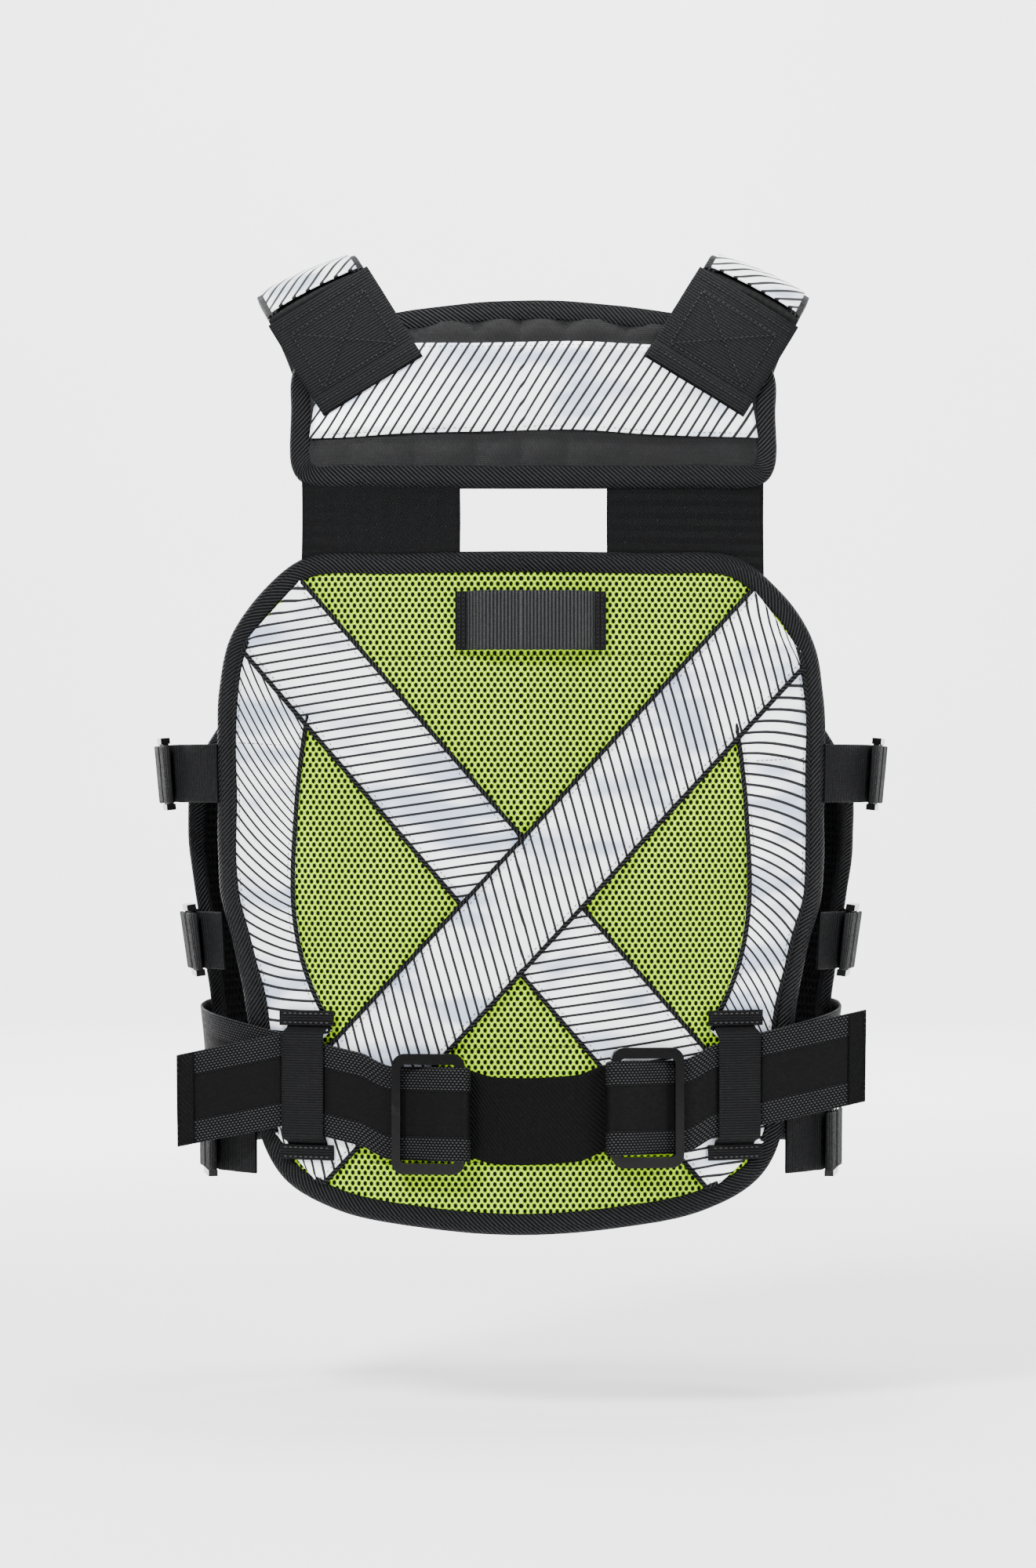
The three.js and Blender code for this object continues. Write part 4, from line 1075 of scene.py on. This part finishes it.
# ---- back panel -----------------------------------------------------------------------
BACK_TOP = -181
BACK_BOTTOM = -619
BACK_HALF = 198
WAIST_HALF = 180
BACK_HALF_OUTLINE = [
    (0, BACK_TOP),
    (80, BACK_TOP - 1),
    (138, BACK_TOP - 3),
    (167, BACK_TOP - 24),
    (189, BACK_TOP - 54),
    (BACK_HALF - 1, BACK_TOP - 90),
    (BACK_HALF, BACK_TOP - 155),
    (BACK_HALF - 1, -402),
    (BACK_HALF - 9, -432),
    (WAIST_HALF + 2, -465),
    (WAIST_HALF - 3, -500),
    (172, BACK_BOTTOM + 66),
    (156, BACK_BOTTOM + 35),
    (120, BACK_BOTTOM + 15),
    (60, BACK_BOTTOM + 4),
    (0, BACK_BOTTOM),
]
back_loop = outline(BACK_HALF_OUTLINE)
FALLING = ((-159, -222), (149, -581))
RISING = ((164, -230), (-154, -575))
CROSSING = np.array([0.0, -406.0])
CROSSING_REACH = 75
TAPE_TUCK = 16
SIDE_TAPE_OUTER = [
    (185.4, -238), (185.6, -330), (185.4, -400), (175, -438), (166, -470), (162, -505),
    (160, -526),
]
SIDE_TAPE_INNER = [
    (135, -285), (140, -318), (143, -350), (145, -405), (140, -440), (131, -466), (125, -478),
    (121, -488),
]


def make_back():
    def swell(x, z):
        pull = bell(z, -249, 3.0) * (np.abs(x - 10) < 104) * 0.9
        pull = pull + bell(z, -500, 3.0) * (np.abs(x + 4) < 92) * 0.7
        return -0.3 + 0.75 * hummocks(x, z, 34, 3) + 0.3 * hummocks(x, z, 11, 5) - pull

    mesh = filled("back_mesh_cloth", inset(back_loop, BINDING - 3), 130, 150, swell)
    panel = finish_piece(mesh, lime_mesh, "vest", ["back_panel"])
    thicken(panel, 6)
    edge = border("back_edge_binding", back_loop, BINDING, -9.6, 1.7)
    finish_piece(edge, binding_twill, "vest", ["back_binding"])
    lined = inset(back_loop, BINDING - 2)
    mesh = filled("back_lining_cloth", lined, 70, 80,
                  lambda x, z: -8.2 + 0.4 * hummocks(x, z, 30, 2))
    lining = finish_piece(mesh, spacer_lining, "vest", ["back_lining"])
    thicken(lining, 1.4)
    sew = seams[("vest", "black")]
    for x0, x1, z in ((-90, 110, -249), (-52, 40, -500), (-96, 88, -573)):
        sew.row([(x0, z), (x1, z + 2)], back, 0.0, *SEAM_STITCH)
    field = inset(back_loop, BINDING - 1)
    for name, (start, end), lift in (("tape_falling", FALLING, 0.0), ("tape_rising", RISING, 1.9)):
        start, end = np.array(start, float), np.array(end, float)
        d = end - start
        size = np.linalg.norm(d)
        across = np.array([d[1], -d[0]]) / size * TAPE_HALF
        tuck = TAPE_TUCK / size
        shares = np.linspace(-tuck, 1 + tuck, 128)

        def edge(sign):
            points = []
            for t in shares:
                at = kept_inside(field, *(start + d * t + across * sign))
                points.append((float(round_back(*at)), at[1]))
            return points

        middle = start + d * shares[:, None]
        near = smooth((CROSSING_REACH - np.linalg.norm(middle - CROSSING, axis=1)) / 18)
        height = lambda u, near=near, lift=lift: 2.5 + lift * np.interp(
            u, np.linspace(0, 1, len(near)), near)
        tape(f"crossing_{name}", edge(1), edge(-1), "vest", name, height, 12)

    def strip_edge(points, side):
        line = through(points, 5.0)
        at, share = np.linspace(0, 1, 44), np.linspace(0, 1, len(line))
        pick = np.stack([np.interp(at, share, line[:, k]) for k in (0, 1)], -1)
        kept = [kept_inside(field, x, z) for x, z in pick]
        return [(side * float(round_back(x, z)), z) for x, z in kept][::-1]

    for name, side in SIDES:
        level = -305 if side < 0 else -315
        sew.row([(side * 150, level), (side * 190, level + 2)], back, 1.4, *SEAM_STITCH)
        a, b = strip_edge(SIDE_TAPE_OUTER, side), strip_edge(SIDE_TAPE_INNER, side)
        low, high = (a, b) if side > 0 else (b, a)
        tape(f"side_stripe_{name}", low, high, "vest", f"side_tape_{name}", 1.3, 8)


make_back()


# ---- grab handle ----------------------------------------------------------------------
def make_handle():
    middle, level, half = 6, -226, 48
    shares = np.linspace(-1, 1, 31)
    free = np.minimum(1, (1 - np.abs(shares)) / 0.45)
    rise = np.where(np.abs(shares) > 0.84, 0, 9 * smooth(free))
    path = list(zip(middle + shares * half, 1.5 + rise))
    ground = lambda s, across, height: skin(s, level + across, height)
    strap("grab_handle_strap", path, 38, ground, handle_webbing, "vest", ["grab_handle"],
          thick=1.9, step=1.5, ripple=0.3, flat=14)
    sew = seams[("vest", "black")]
    for end in (-1, 1):
        hem = [(middle + end * (half - 0.5), 3.0), (middle + end * (half - 7), 3.2)]
        strap(f"grab_handle_hem_{'left' if end < 0 else 'right'}", hem, 37.6, ground,
              plain_webbing, "vest")
        for back_off in (2.5, 5.5):
            x = middle + end * (half - back_off)
            sew.row([(x, -17), (x, 17)], ground, 4.0, *HEM_STITCH)


make_handle()


# ---- elastics -------------------------------------------------------------------------
def make_elastics():
    for name, side in SIDES:
        xs = np.linspace(47, 149, 36) * side + YOKE_SHIFT
        low = np.array([crossings(back_loop, x, 0).max() for x in xs]) - 3
        high = np.array([crossings(yoke_loop, x, 0).min() for x in xs]) + 3

        def place(u, v):
            i = nearest(u, xs)
            z = low[i] + (high[i] - low[i]) * v
            s = round_back(xs[i], z)
            gather = 0.35 * np.sin(xs[i] / 1.9) * np.sin(v * math.pi)
            return skin(s, z, -2.2 + gather - 1.0 * np.sin(v * math.pi)), np.stack([s, z], -1)

        mesh = woven(f"elastic_band_{name}", len(xs) - 1, 12, place)
        piece = finish_piece(mesh, elastic_weave, None, [f"elastic_{name}"])
        apply_solid(piece, 1.8)
        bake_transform(piece)


make_elastics()


# ---- moulded parts --------------------------------------------------------------------
def moulded(node, body, bevel, material, segments=3):
    """The CAD part with its edges rounded, as moulded nylon has them."""
    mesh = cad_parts[node].data.copy()
    mesh.name = f"{node}_moulding"
    mesh.materials.clear()
    with edited(mesh) as bm:
        bmesh.ops.remove_doubles(bm, verts=bm.verts, dist=MERGED)
        bmesh.ops.dissolve_limit(bm, angle_limit=math.radians(2), verts=bm.verts, edges=bm.edges)
        sharp = [e for e in bm.edges if len(e.link_faces) == 2 and e.calc_face_angle(0) > 0.6]
        bmesh.ops.bevel(bm, geom=sharp, offset=bevel * MM, offset_type="OFFSET",
                        segments=segments, profile=0.5, affect="EDGES", material=-1,
                        clamp_overlap=True)
        bmesh.ops.recalc_face_normals(bm, faces=bm.faces)
    piece = finish_piece(mesh, material, body, [node])
    piece.modifiers.new("shading", "WEIGHTED_NORMAL").keep_sharp = True


# ---- side adjusters -------------------------------------------------------------------
FRONT_TOP = -166
FRONT_BOTTOM = -572
SIDE_WEBBING = 38
LOCK_LENGTH = 34
LOCK_BAR = 2.2
LOCK_LIFT = 5
LOCK_BEHIND = 26
SEWN_IN = 16
BAR_GAP = 0.5
HALF_WEBBING = 0.8
FRONT_EDGE = [
    (FRONT_TOP, lambda z: round_front(140, z)),
    (-250, lambda z: round_front(178, z)),
    (-330, lambda z: side_middle(z) + 42),
    (-385, lambda z: side_middle(z) + 14),
    (-440, lambda z: side_middle(z) + 10),
    (FRONT_BOTTOM - 10, lambda z: side_middle(z) + 12),
]


def front_edge(z):
    """How far round the torso a front panel's rear edge lies at a height."""
    i = next((k for k, (level, _) in enumerate(FRONT_EDGE) if level <= z), 0)
    i = max(1, i) if FRONT_EDGE[-1][0] <= z else len(FRONT_EDGE) - 1
    (high, upper), (low, lower) = FRONT_EDGE[i - 1], FRONT_EDGE[i]
    t = (high - z) / (high - low)
    return float(upper(z) + (lower(z) - upper(z)) * t)


def back_edge(z):
    return float(crossings(back_loop, z, 1).max())


def wrap_radius(bar_reach):
    """How far from a bar's middle the middle of the webbing that goes round it lies."""
    return bar_reach + BAR_GAP + HALF_WEBBING


def turn_round(at, height, radius, direction, steps=10):
    angles = [math.pi * i / steps for i in range(steps + 1)]
    return [(at + direction * radius * math.sin(a), height - radius * math.cos(a)) for a in angles]


def make_side_adjusters():
    reach = wrap_radius(LOCK_BAR)
    offset = LOCK_LENGTH / 2 - LOCK_BAR
    sew = seams[("vest", "black")]
    for place, z in PLACES.items():
        middle = float(side_middle(z)) - LOCK_BEHIND
        edge = max(float(round_back(back_edge(z + d), z)) for d in (-19, 0, 19))
        rear, ahead = middle - offset, middle + 1
        start = edge - 4
        tab = [(start, LOCK_LIFT - reach), (start + 5, LOCK_LIFT - reach)]
        tab += [(s, LOCK_LIFT - reach) for s in np.arange(start + 12, rear - 4, 6)]
        tab += turn_round(rear, LOCK_LIFT, reach, 1)
        tab += [(rear - 8, LOCK_LIFT + reach - 0.9), (rear - 14, LOCK_LIFT + reach - 1.6)]
        sewn = max(front_edge(z + d * SIDE_WEBBING) for d in (-0.5, 0, 0.5)) + SEWN_IN
        long = [(s, LOCK_LIFT - reach) for s in np.arange(sewn, ahead + 5, -6)]
        long += turn_round(ahead, LOCK_LIFT, reach, -1)
        for further, above in ((0, 0.2), (5, 0.5), (14, 0.9)):
            long.append((middle + offset + further, LOCK_LIFT + reach + above))
        for name, side in SIDES:
            flat = levelled(side * middle, z, LOCK_LENGTH * 0.65, 12)
            ground = lambda s, across, h, side=side, flat=flat, z=z: flat(side * s, z + across, h)
            for kind, path in (("rear_tab", tab), ("side_strap", long)):
                node = f"{kind}_{place}_{name}"
                strap(f"{node}_webbing", path, SIDE_WEBBING, ground, plain_webbing, "vest", [node],
                      step=1.6, flat=10)
            for s in (sewn - 3, sewn - 8):
                sew.row([(s, -16), (s, 16)], ground, LOCK_LIFT - reach + 0.9, *HEM_STITCH)
            for s in (rear - 5, rear - 9):
                sew.row([(s, -16), (s, 16)], ground, LOCK_LIFT + reach - 0.2, *HEM_STITCH)
            lock = f"side_lock_{place}_{name}"
            moulded(lock, lock, 0.7, nylon_shiny)


make_side_adjusters()

# ---- front ----------------------------------------------------------------------------
NECK_TOP = 74
NECK_FOOT = -236
FRONT_GAP = 24
FRONT_TAPE = (52, 25)
GUSSET = 34
MESH_TUCK = 5


def front_inner(z):
    share = min(1.0, max(0.0, (z - NECK_FOOT) / (FRONT_TOP - NECK_FOOT)))
    return FRONT_GAP / 2 + (NECK_TOP - FRONT_GAP / 2) * share


def front_rim(inner, outer, levels, side):
    """A front panel's outline, clockwise as seen from outside, with its corners eased."""
    rim = list(zip(inner, levels))
    rim += [(s, FRONT_BOTTOM) for s in np.linspace(inner[-1], outer[-1], 40)[1:]]
    rim += list(zip(outer, levels))[-2::-1]
    rim += [(s, FRONT_TOP) for s in np.linspace(outer[0], inner[0], 24)[1:-1]]
    loop = evenly(np.array(rim + rim[:1]) * (side, 1), 4.0)[:-1]
    after = np.roll(loop, -1, axis=0)
    if (loop[:, 0] * after[:, 1] - after[:, 0] * loop[:, 1]).sum() > 0:
        loop = loop[::-1]
    for _ in range(3):
        loop = (np.roll(loop, 1, axis=0) + 2 * loop + np.roll(loop, -1, axis=0)) / 4
    return loop


def make_front():
    for name, side in SIDES:
        levels = np.linspace(FRONT_TOP, FRONT_BOTTOM, 100)
        inner = np.array([float(round_front(front_inner(z), z)) for z in levels])
        outer = np.array([front_edge(z) for z in levels])
        middle = (FRONT_TOP + FRONT_BOTTOM) / 2

        def place(u, v, middle=middle):
            i = nearest(v, levels)
            first, last = inner[i] - MESH_TUCK, outer[i] + MESH_TUCK
            s = first + (last - first) * u
            z = middle + (levels[i] - middle) * (1 - 2 * MESH_TUCK / (FRONT_TOP - FRONT_BOTTOM))
            height = -0.4 + 0.6 * hummocks(s, z, 32, 2 + side)
            return skin(side * s, z, height), np.stack([side * s, z], -1)

        mesh = woven(f"front_mesh_cloth_{name}", 60, len(levels) - 1, place)
        if side > 0:
            mesh.flip_normals()
        piece = finish_piece(mesh, lime_mesh, "vest", [f"front_panel_{name}"])
        make_outward(piece)
        thicken(piece, 6, spacer_lining)
        loop = front_rim(inner, outer, levels, side)
        mesh = border(f"front_edge_binding_{name}", loop, BINDING - 2, -7.6, 1.2, skin)
        finish_piece(mesh, binding_twill, "vest")
        rows = list(zip(outer, levels))[8:-3:2]
        near = [(side * (s + BINDING - 5), z) for s, z in rows]
        far = [(side * (s + GUSSET), z) for s, z in rows]
        mesh = between(f"front_side_gusset_{name}", near, far, 12,
                       lambda u, v: 0.7 + 0.2 * np.sin(u * 37) * np.sin(v * 4))
        gusset = finish_piece(mesh, pad_cloth, "vest")
        make_outward(gusset)
        thicken(gusset, 1.0)
        heights = np.linspace(NECK_FOOT + 8, FRONT_BOTTOM + 9, 80)
        middle, half = FRONT_TAPE
        near = [(float(side * round_front(middle - half, z)), z) for z in heights]
        far = [(float(side * round_front(middle + half, z)), z) for z in heights]
        a, b = (near, far) if side < 0 else (far, near)
        tape(f"front_stripe_{name}", a[::-1], b[::-1], "vest", f"front_tape_{name}", 1.9, 9)


make_front()


def make_front_straps():
    foot_z = -205
    for name, side in SIDES:
        s = float(round_front(side * 112, foot_z))
        foot = skin(s, foot_z, 6.0)
        pad_end = through(shoulder_line(side), 1.0)[-1]
        straight = FRONT_TOP + LOCK_LENGTH + 12
        x = side * 112 + YOKE_SHIFT / 2
        path = [(pad_end[1] + 1, pad_end[2] - 3.7), (foot[1] - 3, straight + 14),
                (foot[1], straight), (foot[1], (straight + foot_z) / 2), (foot[1], foot_z + 0.5)]

        def ground(y, across, z, x=x, straight=straight, pad_end=pad_end):
            y, across, z = paired(y, across, z)
            lean = np.maximum(0, (z - straight) / (pad_end[2] - straight)) * (pad_end[0] - x)
            return np.stack([x + lean + across, y, z], -1)

        strap(f"shoulder_strap_webbing_{name}", path, SIDE_WEBBING, ground, plain_webbing, "yoke",
              [f"shoulder_strap_{name}"], flat=10)
        moulded(f"shoulder_lock_{name}", "vest", 0.7, nylon)


make_front_straps()


# ---- buckles and straps ---------------------------------------------------------------
BUCKLE_BAR = 4
BUCKLE_TURN = wrap_radius(BUCKLE_BAR / 2 * math.sqrt(2))


def buckle_length(width):
    return width * 0.5 + 24


def buckle_bars(width, z):
    """Where a buckle's two bars and the middle of the front lie round the torso."""
    middle = float(front_middle(z))
    reach = buckle_length(width) - BUCKLE_BAR / 2
    return middle - reach, middle + 8 + reach, middle


def make_chest_strap():
    z, width = -262, 25
    female, male, middle = buckle_bars(width, z)
    flat = levelled(middle, z, buckle_length(width) * 1.7, 30)
    sewn, panel, lift = 3.3, 1.4, 8
    for name, side in SIDES:
        at, out = (female, -1) if side > 0 else (male, 1)
        path = [(at + out * 80, panel), (at + out * 66, panel), (at + out * 52, sewn),
                (at + out * 38, sewn), (at + out * 20, sewn + 0.6)]
        path += turn_round(at, lift, BUCKLE_TURN, -out)
        path += [(at + out * 16, lift + BUCKLE_TURN - 1), (at + out * 26, sewn + 3.2)]
        ground = lambda s, across, h: flat(s, z + across, h)
        free = name == "left"
        webbing = strap(f"chest_strap_webbing_{name}", path, width, ground, plain_webbing,
                        None if free else "vest", [f"chest_strap_{name}"], step=2.0, flat=8)
        if free:
            held, moved = (np.ravel(ground(at + out * d, 0.0, lift)) * MM for d in (50, 14))
            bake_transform(webbing)
        sew = seams[("vest", "black")]
        for d in (78, 74):
            sew.row([(at + out * d, -10), (at + out * d, 10)], ground, panel + 0.9, *HEM_STITCH)
    moulded("chest_buckle_female", "vest", 1.1, nylon)
    moulded("chest_buckle_male", "chest_buckle_male", 0.6, nylon)


make_chest_strap()

# ---- belt -----------------------------------------------------------------------------
BELT_WIDTH = 60
BELT_MID = -546
BELT_RISE = 44
BELT_RISE_OVER = 165
SLIDE_LENGTH = 47
SLIDE_BAR = 2.8
SLIDE_AT = {-1: -58, 1: 79}
SLIDE_HALF = SLIDE_LENGTH / 2 - SLIDE_BAR
BUCKLE_LIFT = 11
KEEPER_AT = 139
KEEPER_WIDTH = 28
SEWN_LIFT = 3.3
UNDER_LIFT = SEWN_LIFT + 2.1
OUTER_LIFT = UNDER_LIFT + 2.3
BAR_LIFT = OUTER_LIFT + HALF_WEBBING + BAR_GAP + SLIDE_BAR
FOLD_RADIUS = wrap_radius(SLIDE_BAR * math.sqrt(2))


def belt_height(s):
    """The belt's middle, which sags at the back and runs level under each slide."""
    s = np.asarray(s, float)
    slide = np.where(s < 0, SLIDE_AT[-1], SLIDE_AT[1])
    away = s - slide
    eased = slide + away * smooth(2 * (np.abs(away) - SLIDE_HALF) / SLIDE_LENGTH)
    return BELT_MID + BELT_RISE * (1 - np.exp(-((eased / BELT_RISE_OVER) ** 2)))


def make_belt():
    sew = seams[("vest", "grey")]
    ground = lambda s, across, h: skin(s, belt_height(s) + across, h)
    path = [(s, SEWN_LIFT) for s in np.linspace(SLIDE_AT[-1] - 46, SLIDE_AT[1] + 46, 24)]
    strap("belt_centre_webbing", path, BELT_WIDTH - 4, ground, belt_plain, "vest",
          ["belt_centre_band"], thick=1.7, step=3.0, ripple=0.2, flat=16)
    front = float(belt_height(front_middle(BELT_MID + BELT_RISE)))
    female, male, middle = buckle_bars(BELT_WIDTH, front)
    front_flat = levelled(middle, front, 75, 75)
    for name, side in SIDES:
        slide = abs(SLIDE_AT[side])
        s0 = side * slide
        slide_flat = levelled(s0, float(belt_height(s0)), SLIDE_LENGTH / 2, SLIDE_LENGTH / 3)

        def belt_ground(s, across, h, side=side, slide_flat=slide_flat):
            s, across, h = paired(side * s, across, h)
            z = belt_height(s) + across
            near = np.abs(s) > middle / 2
            ahead = np.where(s < 0, s + 2 * middle, s)
            return np.where(near[..., None], front_flat(ahead, z, h), slide_flat(s, z, h))

        at = female if side > 0 else 2 * middle - male
        path = [(at - 40, UNDER_LIFT + 2.8), (at - 20, BUCKLE_LIFT + BUCKLE_TURN - 1)]
        path += turn_round(at, BUCKLE_LIFT, BUCKLE_TURN, 1)[::-1]
        path += [(at - 16, UNDER_LIFT + 1), (at - 36, UNDER_LIFT)]
        path += [(s, UNDER_LIFT) for s in np.arange(at - 50, slide + SLIDE_HALF + 4, -10)]
        path += [(slide + 8, UNDER_LIFT), (slide, UNDER_LIFT)]
        path += turn_round(slide - SLIDE_HALF, BAR_LIFT, FOLD_RADIUS, -1)
        path += [(slide - SLIDE_HALF + 9, BAR_LIFT + FOLD_RADIUS - 0.8), (slide + 4, BAR_LIFT - 1),
                 (slide + SLIDE_HALF - 6, OUTER_LIFT)]
        end = KEEPER_AT + KEEPER_WIDTH / 2
        path += [(s, OUTER_LIFT) for s in np.linspace(slide + SLIDE_HALF, end, 7)]
        free = name == "left"
        webbing = strap(f"belt_webbing_{name}", path, BELT_WIDTH, belt_ground, belt_webbing,
                        None if free else "vest", [f"belt_{name}"], thick=1.8, step=2.2, flat=18)
        if free:
            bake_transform(webbing)
        moulded(f"belt_slide_{name}", f"belt_slide_{name}", 1.4, nylon_shiny, 4)
        make_keeper(name, side, sew)
        make_tail(name, side)
    moulded("belt_buckle_female", "vest", 1.6, nylon)
    moulded("belt_buckle_male", "belt_buckle_male", 0.9, nylon)


def make_keeper(name, side, sew):
    s = side * KEEPER_AT
    middle = float(belt_height(s))
    reach = BELT_WIDTH / 2 + 5.5
    over = OUTER_LIFT + 2.8
    half = [(reach + 12, SEWN_LIFT), (reach + 2, SEWN_LIFT), (reach, (SEWN_LIFT + over) / 2),
            (reach - 2, over), (reach - 12, over + 0.2)]
    path = half + [(-a, h) for a, h in half[::-1]]
    ground = lambda far, across, h: skin(s + across, middle + far, h)
    strap(f"belt_keeper_webbing_{name}", path, KEEPER_WIDTH, ground, plain_webbing, "vest",
          [f"belt_keeper_{name}"], thick=1.7, step=1.6, flat=10)
    for end in (-1, 1):
        wide = KEEPER_WIDTH / 2 + 5
        tab = [(end * (reach + 13), SEWN_LIFT + 1.2), (end * (reach + 3), SEWN_LIFT + 1.3)]
        strap(f"belt_keeper_tab_{name}_{'low' if end < 0 else 'high'}", tab, 2 * wide, ground,
              plain_webbing, "vest", thick=1.5, step=1.5, flat=10)
        for back_off in (11, 5):
            sew.row([(end * (reach + back_off), -wide + 3), (end * (reach + back_off), wide - 3)],
                    ground, SEWN_LIFT + 2.2, *HEAVY_STITCH)


def make_tail(name, side):
    s = side * (KEEPER_AT + KEEPER_WIDTH / 2 + 1)
    z = float(belt_height(s))
    rise = float(belt_height(s + side * 6) - z) / 6
    tangent, up, normal = axes(s, z)
    root = skin(s, z, OUTER_LIFT)
    turn = math.radians(14)
    ahead = side * tangent * math.cos(turn) + normal * math.sin(turn)
    out = normal * math.cos(turn) - side * tangent * math.sin(turn)

    def ground(far, across, h):
        far, across, h = (v[..., None] for v in paired(far, across, h))
        return root + ahead * far + up * (across + side * rise * far) + out * h

    path = [(0.3, 0), (24, 0.3), (48, 0.2), (72, 0)]
    body = f"belt_tail_{name}"
    strap(f"belt_tail_webbing_{name}", path, BELT_WIDTH, ground, belt_webbing, body, [body],
          thick=1.8, step=2.2, ripple=0.3, flat=18)
    strap(f"belt_tail_hem_{name}", [(70.5, 1.5), (60, 1.6)], BELT_WIDTH - 1, ground, belt_plain,
          body, thick=1.4)


make_belt()

for (body, shade), sewing in seams.items():
    sewing.piece(f"stitching_{body}_{shade}", black_thread if shade == "black" else grey_thread,
                 body, "webbing")

# ---- room, light and camera -----------------------------------------------------------
FLOOR = -0.74
ROOM_HALF = 9
ROOM_START = -8
ROOM_LONG = 24
BEND_RADIUS = 1.6
BEND_FROM, BEND_TO = 0.55, 0.75
WALL_LONG = 14


def make_room():
    """A pale floor that curves up into a backdrop."""
    paper = Finish("pale studio paper")
    t = paper.t
    mottle = t.noise(paper.place, 3.0, 2.0)
    paper.set(Base_Color=t.mix(mottle, grey(0.90), grey(0.94)), Roughness=0.9)
    mesh = bpy.data.meshes.new("studio_floor")
    with edited(mesh) as bm:
        bmesh.ops.create_grid(bm, x_segments=2, y_segments=40, size=1.0)
        for v in bm.verts:
            far = (v.co.y + 1) / 2
            angle = np.clip((far - BEND_FROM) / (BEND_TO - BEND_FROM), 0, 1) * math.pi / 2
            y = ROOM_START + min(far, BEND_FROM) * ROOM_LONG + BEND_RADIUS * math.sin(angle)
            rise = BEND_RADIUS * (1 - math.cos(angle)) + max(0.0, far - BEND_TO) * WALL_LONG
            v.co = Vector((v.co.x * ROOM_HALF, y, FLOOR + rise))
    floor = bpy.data.objects.new("studio_floor", mesh)
    bpy.context.scene.collection.objects.link(floor)
    mesh.materials.append(paper.material)
    mesh.polygons.foreach_set("use_smooth", [True] * len(mesh.polygons))


def lamp(name, place, size, power, target):
    light = bpy.data.lights.new(name, "AREA")
    light.shape = "RECTANGLE"
    light.size, light.size_y = size
    light.energy = power
    holder = bpy.data.objects.new(name, light)
    bpy.context.scene.collection.objects.link(holder)
    holder.location = place
    holder.rotation_euler = (Vector(target) - Vector(place)).to_track_quat("-Z", "Y").to_euler()


MIDDLE = (0, 0, -0.33)
LAMPS = {
    "key_light": ((-1.4, -2.3, 1.6), (0.7, 0.7), 210, MIDDLE),
    "fill_light": ((2.2, -2.0, 0.4), (1.0, 1.6), 90, MIDDLE),
    "top_light": ((0.2, 0.2, 2.0), (1.2, 1.2), 80, MIDDLE),
    "rim_light": ((1.8, 1.9, 0.6), (1.0, 1.6), 30, MIDDLE),
    "front_light": ((-1.6, 2.2, 0.5), (1.2, 1.6), 60, MIDDLE),
    "backdrop_light": ((0, 2.6, 2.6), (4.0, 1.0), 700, (0, 6.6, 0.3)),
    "floor_light": ((0, -0.4, 2.4), (2.5, 1.0), 60, (0, 1.2, FLOOR)),
}

make_room()
for name, (place, size, power, target) in LAMPS.items():
    lamp(name, place, size, power, target)

world = bpy.data.worlds.new("studio air")
world.use_nodes = True
world.node_tree.nodes["Background"].inputs[0].default_value = (0.95, 0.97, 1.0, 1)
world.node_tree.nodes["Background"].inputs[1].default_value = 0.5
bpy.context.scene.world = world

camera = bpy.data.cameras.new("camera")
camera.sensor_width = 36
camera.lens = 108
eye = bpy.data.objects.new("camera", camera)
bpy.context.scene.collection.objects.link(eye)
eye.location = (-0.002, -3.135, -0.33)
eye.rotation_euler = (math.pi / 2, 0, 0)
bpy.context.scene.camera = eye
